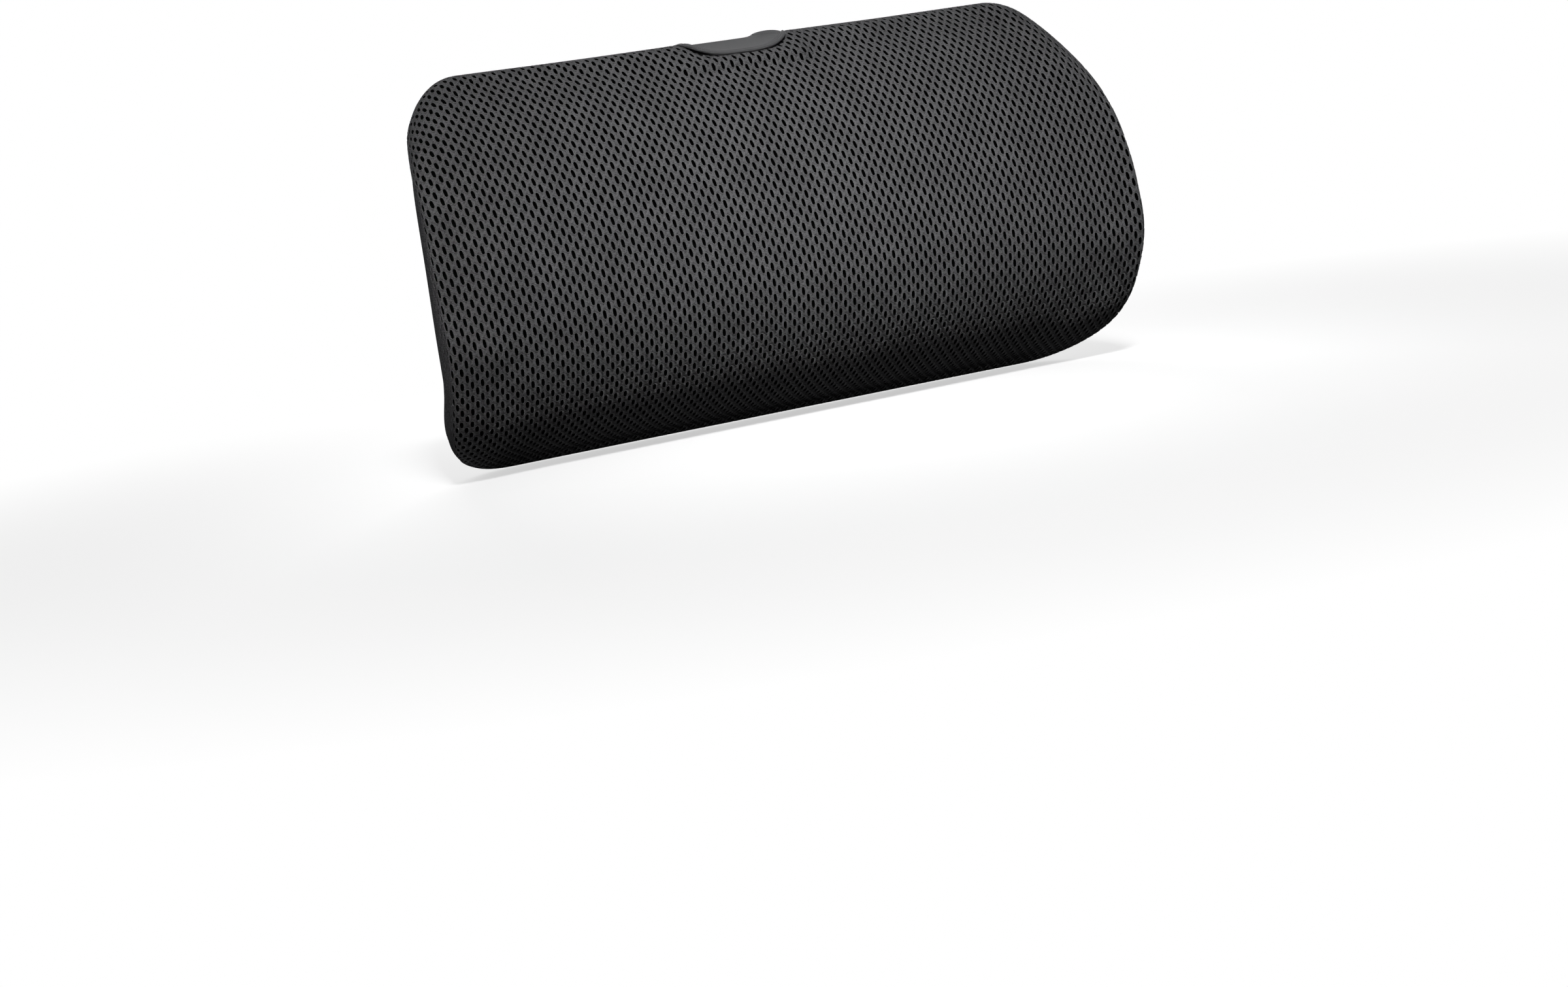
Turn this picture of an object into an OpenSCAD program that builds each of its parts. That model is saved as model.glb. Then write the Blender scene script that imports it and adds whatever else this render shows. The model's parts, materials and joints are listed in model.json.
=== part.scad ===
// Strap-on headrest bolster for a recliner: a crowned foam cushion in a spacer mesh cover,
// with a zipped woven back and an elastic strap that closes round a rail behind the backrest.
// The flat back lies in the plane y = 0 and the crown faces -Y. Z runs up the backrest.

/* [Cushion] */
// Width of the cover before its ends are drawn in
body_w = 440; // [380:1:560]
// Depth from the back to the crown
body_d = 104; // [86:1:120]
// Height of the top above the crown line
upper_h = 129; // [110:1:137]
// Height of the crown line above the bottom
lower_h = 98; // [85:1:118]
// Radius of the gently curved upper front
front_r = 150; // [145:1:260]
// Radius of the roll between upper front and top
shoulder_r = 25; // [18:1:30]
// Radius of the nearly flat top
top_r = 360; // [250:1:900]
// Length of the rounded end, seen from above
end_r = 13; // [12:1:40]
// How far each end of the back is drawn in from the widest place
draw_in = 36; // [10:1:40]
// Width of the rounded top corners, seen from the front
top_corner_w = 48; // [42:1:100]
// Height of the rounded top corners, seen from the front
top_corner_h = 52; // [30:1:60]
// Width of the rounded bottom corners, seen from the front
bottom_corner_w = 47; // [42:1:70]
// Height of the rounded bottom corners, seen from the front
bottom_corner_h = 17; // [15:1:40]

/* [Layers] */
// Thickness of the spacer mesh
cover_t = 4; // [2.5:0.1:6]
// Thickness of the wadding round the foam
wadding_t = 5; // [3:0.1:8]
// Thickness of the woven back
panel_t = 2.2; // [1.5:0.1:2.4]
// Diameter of the rolled seam lip
welt_d = 5; // [5:0.1:7]
// Gap between layers that lie on each other
layer_gap = 0.3; // [0.2:0.05:0.5]
// Gap between flat pieces that are sewn or pressed together
sewn_gap = 0.2; // [0.1:0.05:0.3]

/* [Zip] */
// Length of the row of teeth
zip_l = 288; // [200:4:300]
// Height of the zip line above the middle of the back
zip_z = -70; // [-80:1:-60]
// How far the slot runs past the teeth at each end
slot_end = 12; // [8:1:16]
// Height of the slot between the two back panels
zip_slot_h = 16; // [13:0.5:20]
// How far the tape reaches behind each panel
tape_lap = 10; // [6:0.5:14]
// How far the tape runs past the slot at each end
tape_tail = 6; // [4:1:8]
// Thickness of the tape
tape_t = 0.5; // [0.4:0.05:0.6]
// Distance from one tooth to the next on the same side
tooth_pitch = 4; // [3:0.5:6]
// Width of a tooth along the zip
tooth_w = 1.5; // [1:0.1:1.7]
// Height of the teeth above their foot
tooth_h = 1.1; // [0.8:0.1:1.3]
// Length of the slider
slider_l = 11; // [9:0.5:14]
// Width of the slider
slider_w = 9.2; // [8.5:0.1:11]
// Wall of the slider
slider_t = 0.7; // [0.5:0.1:0.9]
// Running gap between slider and teeth
slider_gap = 0.25; // [0.2:0.05:0.3]
// Length of the pull
pull_l = 22; // [15:1:30]
// Thickness of the pull
pull_t = 0.8; // [0.6:0.1:1]
// Radius of the pull's pin
pin_r = 0.4; // [0.3:0.05:0.45]
// Radial gap of the pin in the slider's ears
pin_gap = 0.08; // [0.05:0.01:0.1]

/* [Strap] */
// Width of the elastic
strap_w = 52; // [40:1:65]
// Thickness of the elastic
strap_t = 1.8; // [1.2:0.1:2.5]
// Width of the scooped opening that the elastic is sewn into
scoop_w = 66; // [60:1:90]
// Depth of the scooped opening below the top
scoop_h = 8.3; // [6:0.1:12]
// Radius of the rolled edge of the opening
binding_r = 1.5; // [1:0.1:2]
// How far the elastic's edges curl up where it leaves the cushion
strap_curl = 3; // [0:0.5:5]
// Distance from the cushion's back to the hanging strap
backrest_gap = 37; // [25:1:60]
// Radius of the strap's bend over the backrest
bend_r = 10; // [6:1:14]
// Radius of the rail that the strap closes round
rail_r = 11; // [8:0.5:16]
// Height of the rail's middle above the middle of the back
rail_z = -40; // [-70:1:-20]
// Length of the closure patches
patch_l = 70; // [40:1:80]
// Thickness of a closure patch
patch_t = 1.5; // [1:0.1:2]
// Margin of the elastic beside a patch
patch_margin = 2; // [1:0.5:4]
// Angle that the flap follows the rail before it leaves it
flap_wrap = 50; // [40:1:60]
// Margin of the elastic beside the grip tab
tab_margin = 6; // [2:1:10]
// Thickness of one ply of the grip tab
tab_ply = 0.6; // [0.4:0.1:1]
// Length of the grip tab
tab_l = 18; // [12:1:30]
// How far the grip tab laps over the flap
tab_lap = 6; // [4:0.5:10]
// Gap between pieces that turn against each other
hinge_gap = 0.3; // [0.2:0.05:0.5]
// Angle that the strap swings up from the backrest
strap_open = 100; // [60:5:110]
// Angle that the flap peels back from the band
flap_open = 120; // [60:5:120]

/* [Hidden] */
$fn = 48;
eps = 0.01;
// How far a cut runs past the faces that it goes through.
overrun = 1;

// The crown line lies below the middle of the back by half the difference of the two heights.
crown_z = (lower_h - upper_h) / 2;
half_w = body_w / 2;
top_corner = [top_corner_w, top_corner_h];
bottom_corner = [bottom_corner_w, bottom_corner_h];

// The cover and the layers inside it all start just in front of the seam lip.
cover_rim = welt_d + layer_gap;
wadding_inset = cover_t + layer_gap;
foam_inset = wadding_inset + wadding_t + layer_gap;

// Steps round each stretch of the section and across the width.
top_steps = 3;
shoulder_steps = 4;
front_steps = 5;
bottom_steps = 8;
corner_columns = 3;
dome_steps = 4;

// Section of the cushion drawn in by inset e, as [depth, height above the crown line].
shoulder_angle = asin((upper_h - shoulder_r) / (front_r - shoulder_r));
function shoulder_mid() = [
    body_d - front_r + (front_r - shoulder_r) * cos(shoulder_angle),
    (front_r - shoulder_r) * sin(shoulder_angle)
];
function top_end_angle(e) = 90 + asin(shoulder_mid()[0] / (top_r - e));
function on_top(a, e) = [
    shoulder_mid()[0] + (top_r - e) * cos(a),
    upper_h - top_r + (top_r - e) * sin(a)
];
function on_shoulder(a, e) = shoulder_mid() + (shoulder_r - e) * [cos(a), sin(a)];
function on_front(a, e) = [body_d - front_r + (front_r - e) * cos(a), (front_r - e) * sin(a)];
function on_bottom(a, e) = [(body_d - e) * cos(a), -(lower_h - e) * sin(a)];
function section(e) = [
    for (i = [0 : top_steps - 1])
        on_top(top_end_angle(e) + (90 - top_end_angle(e)) * i / top_steps, e),
    for (i = [0 : shoulder_steps - 1])
        on_shoulder(90 + (shoulder_angle - 90) * i / shoulder_steps, e),
    for (i = [0 : front_steps - 1]) on_front(shoulder_angle * (1 - i / front_steps), e),
    for (i = [0 : bottom_steps]) on_bottom(90 * i / bottom_steps, e)
];

// Share of a quarter ellipse's height that is left at distance d into its width w.
function ellipse_share(d, w) = sqrt(max(0, 1 - pow(max(0, min(d, w)) / w, 2)));
function top_at(x, e) =
    upper_h - e - (top_corner[1] - e)
    * (1 - ellipse_share(abs(x) - (half_w - top_corner[0]), top_corner[0] - e));
function bottom_at(x, e) =
    lower_h - e - (bottom_corner[1] - e)
    * (1 - ellipse_share(abs(x) - (half_w - bottom_corner[0]), bottom_corner[0] - e));
function depth_share(x, e) = ellipse_share(abs(x) - (half_w - end_r), end_r - e);

// The cover starts at the seam lip, so depths in the section are drawn up between lip and crown.
function deep(d) = cover_rim + d * (body_d - cover_rim) / body_d;
function shallow(f) = (f - cover_rim) * body_d / (body_d - cover_rim);

// The elastic rises in a straight line from the scoop's seam to the back edge.
seam_z = upper_h - scoop_h;
seam_f = deep(on_shoulder(asin((seam_z - shoulder_mid()[1]) / shoulder_r), 0)[0]);
function strap_line(f) = seam_z + scoop_h * (1 - f / seam_f);
function channel(x) = max(0, 1 - pow(2 * x / scoop_w, 2));
function dip(x, q) =
    deep(q[0]) > seam_f ? 0 : max(0, q[1] - strap_line(deep(q[0])) + layer_gap) * channel(x);

// Width x of a layer after the ends are drawn in. forward is 0 at the back and 1 at the crown.
function drawn(x, forward, e) =
    x - sign(x) * draw_in * pow(abs(x) / (half_w - e), 3) * pow(1 - forward, 1.5);

// A point of a layer at width x. p is on the section drawn in by e, q is that point on the cover.
function skin_point(x, p, q, e) =
    let (
        forward = max(0, p[0]) / (body_d - e) * depth_share(x, e),
        rise = p[1] > 0 ? (p[1] - dip(x, q)) * top_at(x, e) / (upper_h - e)
                        : p[1] * bottom_at(x, e) / (lower_h - e)
    )
    [drawn(x, forward, e), -cover_rim - forward * (body_d - e - cover_rim), crown_z + rise];
// A point of the outermost column, where the layer has come down to the rim. Its height follows the
// angle at which the section's point p is seen from the crown line. top is the section's back height.
function tip_point(x, p, top, e) =
    let (reach = p[1] > 0 ? top * top_at(x, e) / (upper_h - e) : bottom_at(x, e))
    [drawn(x, 0, e), -cover_rim, crown_z + reach * p[1] / norm(p)];

// Stations across the width: finer at the scoop, the corners and the rounded ends.
function half_stations(e) = concat(
    [0, strap_w / 4, strap_w / 2, scoop_w / 2],
    [for (i = [1 : 3]) scoop_w / 2 + (half_w - top_corner[0] - scoop_w / 2) * i / 3],
    [
        for (i = [1 : corner_columns])
            half_w - top_corner[0] + (top_corner[0] - end_r) * i / (corner_columns + 1)
    ],
    [for (i = [0 : dome_steps]) half_w - end_r + (end_r - e) * sin(90 * i / dome_steps)]
);
function stations(e) =
    let (half = half_stations(e), n = len(half))
    concat([for (i = [n - 1 : -1 : 1]) -half[i]], half);
function skin(e) =
    let (drawn_in = section(e), cover = section(0), last = len(cover) - 1)
    [
        for (x = stations(e))
            [
                for (i = [0 : last])
                    abs(x) < half_w - e - eps
                        ? skin_point(x, drawn_in[i], cover[i], e)
                        : tip_point(x, drawn_in[i], drawn_in[0][1], e)
            ]
    ];

// Triangles of a grid of columns, each n points long, that starts at vertex number s.
// Their diagonals run from the grid's corners to its middle.
function grid_faces(columns, n, s, outwards) = [
    for (i = [0 : columns - 2], j = [0 : n - 2], half = [0, 1])
        let (
            a = s + i * n + j,
            b = a + n,
            falls = (2 * i < columns - 1) == (2 * j < n - 1),
            cut = falls ? [[a, b, b + 1], [a, b + 1, a + 1]] : [[a, b, a + 1], [b, b + 1, a + 1]],
            tri = cut[half]
        )
        outwards ? tri : [tri[0], tri[2], tri[1]]
];
// Vertex numbers round the border of such a grid.
function border(columns, n) = concat(
    [for (i = [0 : columns - 1]) i * n],
    [for (j = [1 : n - 1]) (columns - 1) * n + j],
    [for (i = [columns - 2 : -1 : 0]) i * n + n - 1],
    [for (j = [n - 2 : -1 : 1]) j]
);
function strip_faces(loop, offset, outwards) = [
    for (i = [0 : len(loop) - 1], half = [0, 1])
        let (
            a = loop[i],
            b = loop[(i + 1) % len(loop)],
            tri = half == 0 ? [a, a + offset, b + offset] : [a, b + offset, b]
        )
        outwards ? tri : [tri[0], tri[2], tri[1]]
];
function flat(columns) = [for (c = columns) each c];

// A closed sheet between two grids of the same size.
module sheet(outer, inner) {
    columns = len(outer);
    n = len(outer[0]);
    total = columns * n;
    polyhedron(
        concat(flat(outer), flat(inner)),
        concat(
            grid_faces(columns, n, 0, true),
            grid_faces(columns, n, total, false),
            strip_faces(border(columns, n), total, true)
        )
    );
}

// A closed body between one grid and the flat base that its border lies in.
module crowned_body(outer) {
    columns = len(outer);
    n = len(outer[0]);
    far = (columns - 1) * n;
    polyhedron(
        flat(outer),
        concat(
            grid_faces(columns, n, 0, true),
            [for (j = [0 : n - 2]) [n, j, j + 1]],
            [for (j = [0 : n - 2]) [far - n, far + j + 1, far + j]],
            [[n, n - 1, 2 * n - 1], [far - n, far - 1, far + n - 1]],
            [
                for (i = [1 : columns - 3], half = [0, 1])
                    let (a = i * n, b = a + n - 1)
                    half == 0 ? [a, b, b + n] : [a, b + n, a + n]
            ]
        )
    );
}

// Outline of the back, drawn in by inset e, as points in X and Z. The top falls a little to the back.
back_h = on_top(top_end_angle(0), 0)[1];
corner_steps = 8;
function corner_points(size, e, sx, base, sz, flip) = [
    for (i = [0 : corner_steps])
        let (a = 90 * (flip ? corner_steps - i : i) / corner_steps)
        [
            sx * drawn(half_w - size[0] + (size[0] - e) * sin(a), 0, e),
            crown_z + sz * (base - size[1] + (size[1] - e) * cos(a))
        ]
];
function outline(e) = concat(
    corner_points(top_corner, e, 1, back_h, 1, false),
    corner_points(bottom_corner, e, 1, lower_h, -1, true),
    corner_points(bottom_corner, e, -1, lower_h, -1, false),
    corner_points(top_corner, e, -1, back_h, 1, true)
);

// A plate of the back's outline that fills y0 to y1.
module back_plate(e, y0, y1) {
    translate([0, y1, 0]) rotate([90, 0, 0]) linear_extrude(y1 - y0) polygon(outline(e));
}
// A block given by its lowest and highest corner.
module block(lo, hi) {
    translate(lo) cube(hi - lo);
}
// A rod along X, centred on x = 0.
module rod_x(r, l, y, z) {
    translate([0, y, z]) rotate([0, 90, 0]) cylinder(r = r, h = l, center = true);
}

module front_cover() {
    color([0.2, 0.2, 0.2]) sheet(skin(0), skin(cover_t));
}

module wadding_wrap() {
    color([0.85, 0.85, 0.82])
        sheet(skin(wadding_inset), skin(wadding_inset + wadding_t));
}

module foam_core() {
    color([0.8, 0.78, 0.7]) crowned_body(skin(foam_inset));
}

// Rolled seam lip: a tube along the outline of the back.
welt_sides = 8;
module edge_welt() {
    path = outline(welt_d / 2);
    n = len(path);
    rings = [
        for (i = [0 : n - 1])
            let (
                before = path[(i + n - 1) % n],
                after = path[(i + 1) % n],
                along = (after - before) / norm(after - before),
                out = [-along[1], along[0]]
            )
            [
                for (k = [0 : welt_sides - 1])
                    let (a = 360 * (k + 0.5) / welt_sides, r = welt_d / 2)
                    [
                        path[i][0] + r * cos(a) * out[0],
                        -welt_d / 2 + r * sin(a),
                        path[i][1] + r * cos(a) * out[1]
                    ]
            ]
    ];
    faces = [
        for (i = [0 : n - 1], k = [0 : welt_sides - 1], half = [0, 1])
            let (
                a = i * welt_sides + k,
                b = i * welt_sides + (k + 1) % welt_sides,
                c = ((i + 1) % n) * welt_sides + (k + 1) % welt_sides,
                d = ((i + 1) % n) * welt_sides + k
            )
            half == 0 ? [a, b, c] : [a, c, d]
    ];
    color([0.16, 0.16, 0.16]) polyhedron(flat(rings), faces);
}

// Back panels: two plates of the back's outline that meet at the zip line.
slot_l = zip_l + 2 * slot_end;
tape_l = slot_l + 2 * tape_tail;
floor_front = -cover_rim + layer_gap;
panel_inset = welt_d + layer_gap;
module zip_slot(half_h, y0, y1, half_l) {
    block([-half_l, y0, zip_z - half_h], [half_l, y1, zip_z + half_h]);
}
module back_panel(side) {
    reach = body_w + upper_h + lower_h;
    low = side > 0 ? zip_z : zip_z - reach;
    difference() {
        intersection() {
            back_plate(panel_inset, -panel_t, 0);
            block([-reach, -panel_t - overrun, low], [reach, overrun, low + reach]);
        }
        zip_slot(zip_slot_h / 2, -panel_t - overrun, overrun, slot_l / 2);
    }
}
module back_panel_upper() {
    color([0.13, 0.13, 0.14]) back_panel(1);
}
module back_panel_lower() {
    color([0.13, 0.13, 0.14]) back_panel(-1);
}

window_margin = 1;
module back_wadding() {
    color([0.85, 0.85, 0.82]) difference() {
        back_plate(panel_inset + layer_gap, floor_front, -panel_t - layer_gap);
        zip_slot(
            zip_slot_h / 2 + tape_lap + window_margin,
            floor_front - overrun,
            -panel_t,
            tape_l / 2 + window_margin
        );
    }
}

// Zip: each tape hangs behind its panel and steps down to a floor that carries the teeth.
tape_back = -panel_t - sewn_gap;
tape_step = 0.4;
floor_back = floor_front + tape_t;
chain_gap = 0.3;
foot_h = 0.8;
head_half = 3;
foot_inner = 1.2;
foot_outer = 2;
reach_over = 0.9;
module zip_tape(side) {
    step = zip_slot_h / 2 + tape_step;
    profile = [
        [chain_gap, floor_front],
        [step + tape_t, floor_front],
        [step + tape_t, tape_back - tape_t],
        [zip_slot_h / 2 + tape_lap, tape_back - tape_t],
        [zip_slot_h / 2 + tape_lap, tape_back],
        [step, tape_back],
        [step, floor_back],
        [chain_gap, floor_back]
    ];
    translate([-tape_l / 2, 0, zip_z])
        mirror([0, 0, side > 0 ? 0 : 1])
            rotate([90, 0, 90]) linear_extrude(tape_l) polygon([for (p = profile) [p[1], p[0]]]);
}
module zip_tape_upper() {
    color([0.1, 0.1, 0.1]) zip_tape(1);
}
module zip_tape_lower() {
    color([0.1, 0.1, 0.1]) zip_tape(-1);
}

// One side of the chain: a foot on the tape, a rail on the foot, and teeth that reach over the middle.
teeth = floor(zip_l / tooth_pitch);
head_front = floor_back + foot_h;
head_back = head_front + tooth_h;
module zip_teeth(side) {
    first = -zip_l / 2 + tooth_pitch / 2 + (side > 0 ? 0 : -tooth_pitch / 2);
    count = side > 0 ? teeth : teeth + 1;
    comb = concat(
        [[zip_l / 2, head_half], [-zip_l / 2, head_half], [-zip_l / 2, foot_inner]],
        [
            for (i = [0 : count - 1])
                let (
                    x = first + i * tooth_pitch,
                    x0 = max(-zip_l / 2, x - tooth_w / 2),
                    x1 = min(zip_l / 2, x + tooth_w / 2)
                )
                each [[x0, foot_inner], [x0, -reach_over], [x1, -reach_over], [x1, foot_inner]]
        ],
        [[zip_l / 2, foot_inner]]
    );
    translate([0, 0, zip_z]) mirror([0, 0, side > 0 ? 0 : 1]) {
        translate([0, head_back, 0]) rotate([90, 0, 0]) linear_extrude(tooth_h) polygon(comb);
        block([-zip_l / 2, floor_back, foot_inner], [zip_l / 2, head_front + eps, foot_outer]);
    }
}
module zip_teeth_upper() {
    color([0.07, 0.07, 0.07]) zip_teeth(1);
}
module zip_teeth_lower() {
    color([0.07, 0.07, 0.07]) zip_teeth(-1);
}

stop_l = 4;
module zip_stops() {
    color([0.07, 0.07, 0.07]) for (side = [-1, 1])
        translate([side * (zip_l / 2 + layer_gap + stop_l / 2), 0, zip_z])
            block(
                [-stop_l / 2, floor_back, -head_half],
                [stop_l / 2, head_back + slider_gap, head_half]
            );
}

// Slider: a plate over the chain whose walls and lips run under the rails on both sides.
slider_x = -zip_l / 2 + slider_l;
plate_front = head_back + slider_gap;
plate_back = plate_front + slider_t;
lip_t = 0.3;
lip_back = head_front - slider_gap;
ear_t = 1;
ear_half = 2;
ear_wall = 0.2;
ear_r = pin_r + pin_gap + ear_wall;
pin_y = plate_back + ear_r;
pin_ahead = 1.5;
pin_x = slider_x + pin_ahead;
module slider_outline() {
    l = slider_l / 2;
    w = slider_w / 2;
    taper = 1.4;
    nose = 3;
    polygon([
        [-l, -w + taper], [-l + taper, -w], [l - nose, -w], [l, -w + taper],
        [l, w - taper], [l - nose, w], [-l + taper, w], [-l, w - taper]
    ]);
}
module zip_slider() {
    rail = head_half + slider_gap;
    color([0.25, 0.25, 0.26]) {
        difference() {
            translate([slider_x, plate_back, zip_z])
                rotate([90, 0, 0]) linear_extrude(plate_back - lip_back + lip_t) slider_outline();
            translate([slider_x, 0, zip_z]) {
                block([-slider_l, lip_back, -rail], [slider_l, plate_front, rail]);
                block(
                    [-slider_l, lip_back - lip_t - overrun, -foot_outer - slider_gap],
                    [slider_l, lip_back + eps, foot_outer + slider_gap]
                );
            }
        }
        for (side = [-1, 1]) slider_ear(side);
    }
}
module slider_ear(side) {
    z0 = side > 0 ? ear_half : -ear_half - ear_t;
    difference() {
        translate([pin_x, 0, zip_z + z0]) {
            translate([0, pin_y, 0]) cylinder(r = ear_r, h = ear_t);
            block([-ear_r, plate_back - eps, 0], [ear_r, pin_y, ear_t]);
        }
        translate([pin_x, pin_y, zip_z + z0 - overrun])
            cylinder(r = pin_r + pin_gap, h = ear_t + 2 * overrun);
    }
}

// Pull: a pin in the ears, a neck between them and a grip with a slot.
neck_half = 1.6;
grip_half = 3;
grip_start = 5;
grip_slot_half = 1.2;
grip_slot_start = 3;
grip_slot_end = 5;
module zip_pull() {
    color([0.2, 0.2, 0.21]) translate([pin_x, pin_y, zip_z]) {
        translate([0, 0, -ear_half - ear_t]) cylinder(r = pin_r, h = 2 * (ear_half + ear_t));
        translate([0, pull_t / 2, 0]) rotate([90, 0, 0]) linear_extrude(pull_t) difference() {
            union() {
                translate([0, -neck_half]) square([grip_start + overrun, 2 * neck_half]);
                translate([grip_start, -grip_half])
                    square([pull_l - grip_start - grip_half, 2 * grip_half]);
                translate([pull_l - grip_half, 0]) circle(r = grip_half);
            }
            translate([grip_start + grip_slot_start, -grip_slot_half])
                square([
                    pull_l - grip_start - grip_slot_start - grip_slot_end,
                    2 * grip_slot_half
                ]);
        }
    }
}

// Scooped opening: the seam's place at width x, as a point of the section.
function seam_section(x) =
    let (
        z = upper_h - max(eps, scoop_h * channel(x)),
        m = shoulder_mid()
    )
    [m[0] + sqrt(max(0, pow(shoulder_r, 2) - pow(z - m[1], 2))), z];

binding_sides = 8;
binding_steps = 12;
facet_room = 0.25;
module strap_binding() {
    lift = binding_r + layer_gap + facet_room;
    path = [
        for (i = [0 : binding_steps])
            let (
                x = scoop_w / 2 * (2 * i / binding_steps - 1),
                p = seam_section(x),
                out = (p - shoulder_mid()) / shoulder_r
            )
            [x, -(deep(p[0]) + lift * out[0]), crown_z + p[1] + lift * out[1]]
    ];
    last = binding_steps;
    rings = [
        for (i = [0 : last])
            let (
                along = path[min(i + 1, last)] - path[max(i - 1, 0)],
                t = along / norm(along),
                side = cross(t, [0, 0, 1]) / norm(cross(t, [0, 0, 1])),
                up = cross(side, t)
            )
            [
                for (k = [0 : binding_sides - 1])
                    let (a = 360 * k / binding_sides)
                    path[i] + binding_r * (cos(a) * side + sin(a) * up)
            ]
    ];
    caps = [
        for (k = [1 : binding_sides - 2])
            each [
                [0, k, k + 1],
                [last * binding_sides, last * binding_sides + k + 1, last * binding_sides + k]
            ]
    ];
    walls = [
        for (i = [0 : last - 1], k = [0 : binding_sides - 1], half = [0, 1])
            let (
                a = i * binding_sides + k,
                b = i * binding_sides + (k + 1) % binding_sides,
                c = b + binding_sides,
                d = a + binding_sides
            )
            half == 0 ? [a, c, b] : [a, d, c]
    ];
    color([0.22, 0.22, 0.22]) polyhedron(flat(rings), concat(caps, walls));
}

// Elastic from the scoop to the cushion's back edge, bent into a shallow trough.
strap_stations = [-strap_w / 2, -strap_w / 4, 0, strap_w / 4, strap_w / 2];
root_steps = 11;
hinge_y = 2.5;
hinge_z = crown_z + upper_h + strap_t / 2;
// Distance from a fold line at which the still piece ends, so that the other can turn by an angle.
function fold_room(angle) =
    let (t = strap_t / 2)
    max(t + hinge_gap, (t * (1 - cos(angle)) + hinge_gap) / sin(angle));
root_end = fold_room(strap_open) - hinge_y;
function section_top(f) =
    let (m = shoulder_mid(), d = shallow(f) - m[0])
    d > 0 ? m[1] + sqrt(max(0, pow(shoulder_r, 2) - pow(d, 2)))
          : upper_h - top_r + sqrt(pow(top_r, 2) - pow(d, 2));
function root_height(x, f) =
    let (
        trough = max(0, section_top(f) - strap_line(f) + layer_gap),
        along = (f - root_end) / (seam_f - root_end),
        curl = strap_curl * sin(180 * max(0, min(1, along))) * pow(2 * x / strap_w, 4)
    )
    min(strap_line(f), upper_h) + trough * pow(2 * x / scoop_w, 2) + curl;
function root_grid(lift) = [
    for (x = strap_stations)
        let (start = deep(seam_section(x)[0]) - binding_r)
        [
            for (i = [root_steps : -1 : 0])
                let (f = root_end + (start - root_end) * i / root_steps)
                [x, -f, crown_z + root_height(x, f) + lift]
        ]
];
module strap_root() {
    color([0.3, 0.3, 0.3]) sheet(root_grid(0), root_grid(strap_t));
}

// Elastic behind the cushion, from its fold over the backrest, down and under the rail.
band_y = backrest_gap + strap_t / 2;
rail_y = band_y + strap_t / 2 + rail_r;
band_bend_y = band_y - bend_r;
band_bend_z = hinge_z - bend_r;
module quarter_bend(r, y, z) {
    intersection() {
        difference() {
            rod_x(r + strap_t / 2, strap_w, y, z);
            rod_x(r - strap_t / 2, strap_w + 2 * overrun, y, z);
        }
        block([-strap_w, y, z], [strap_w, y + 2 * r, z + 2 * r]);
    }
}
// A wall round the rail, from angle a0 to a1 measured from +Y towards +Z.
module rail_wall(a0, a1) {
    outer = rail_r + strap_t;
    far = 3 * outer;
    wedge_steps = 4;
    translate([0, rail_y, rail_z]) intersection() {
        difference() {
            rod_x(outer, strap_w, 0, 0);
            rod_x(rail_r, strap_w + 2 * overrun, 0, 0);
        }
        translate([-strap_w / 2, 0, 0]) rotate([90, 0, 90]) linear_extrude(strap_w)
            polygon([
                [0, 0],
                for (i = [0 : wedge_steps])
                    let (a = a0 + (a1 - a0) * i / wedge_steps)
                    far * [cos(a), sin(a)]
            ]);
    }
}
flap_y = rail_y + rail_r + strap_t / 2;
hinge_trim = asin(fold_room(flap_open) / (rail_r + strap_t / 2));
module strap_band() {
    half = strap_w / 2;
    t = strap_t / 2;
    color([0.3, 0.3, 0.3]) {
        rod_x(t, strap_w, hinge_y, hinge_z);
        block([-half, hinge_y, hinge_z - t], [half, band_bend_y, hinge_z + t]);
        quarter_bend(bend_r, band_bend_y, band_bend_z);
        block([-half, band_y - t, rail_z], [half, band_y + t, band_bend_z]);
        rail_wall(180, 360 - hinge_trim);
    }
}

// Closure: a soft patch on the band and a hooked patch on the flap, which lie on each other.
patch_w = strap_w - 2 * patch_margin;
wrap_y = rail_y + (rail_r + strap_t / 2) * cos(flap_wrap);
wrap_z = rail_z + (rail_r + strap_t / 2) * sin(flap_wrap);
flat_y = band_y + strap_t + 2 * patch_t + sewn_gap;
lean_l = (wrap_y - flat_y) / sin(flap_wrap);
flat_z = wrap_z + lean_l * cos(flap_wrap);
patch_z = flat_z + patch_margin;
module loop_patch() {
    y = band_y + strap_t / 2;
    color([0.08, 0.08, 0.08])
        block([-patch_w / 2, y, patch_z], [patch_w / 2, y + patch_t, patch_z + patch_l]);
}
module hook_patch() {
    y = flat_y - strap_t / 2;
    color([0.05, 0.05, 0.05])
        block([-patch_w / 2, y - patch_t, patch_z], [patch_w / 2, y, patch_z + patch_l]);
}

flap_end = patch_z + patch_l + patch_margin + tab_lap;
module strap_flap() {
    t = strap_t / 2;
    across = t * [cos(flap_wrap), sin(flap_wrap)];
    mitre = t * [1, tan(flap_wrap / 2)];
    strip = [
        [wrap_y, wrap_z] + across,
        [flat_y, flat_z] + mitre,
        [flat_y + t, flap_end],
        [flat_y - t, flap_end],
        [flat_y, flat_z] - mitre,
        [wrap_y, wrap_z] - across
    ];
    color([0.3, 0.3, 0.3]) {
        rod_x(t, strap_w, flap_y, rail_z);
        rail_wall(0, flap_wrap);
        translate([-strap_w / 2, 0, 0])
            rotate([90, 0, 90]) linear_extrude(strap_w) polygon(strip);
    }
}

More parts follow.
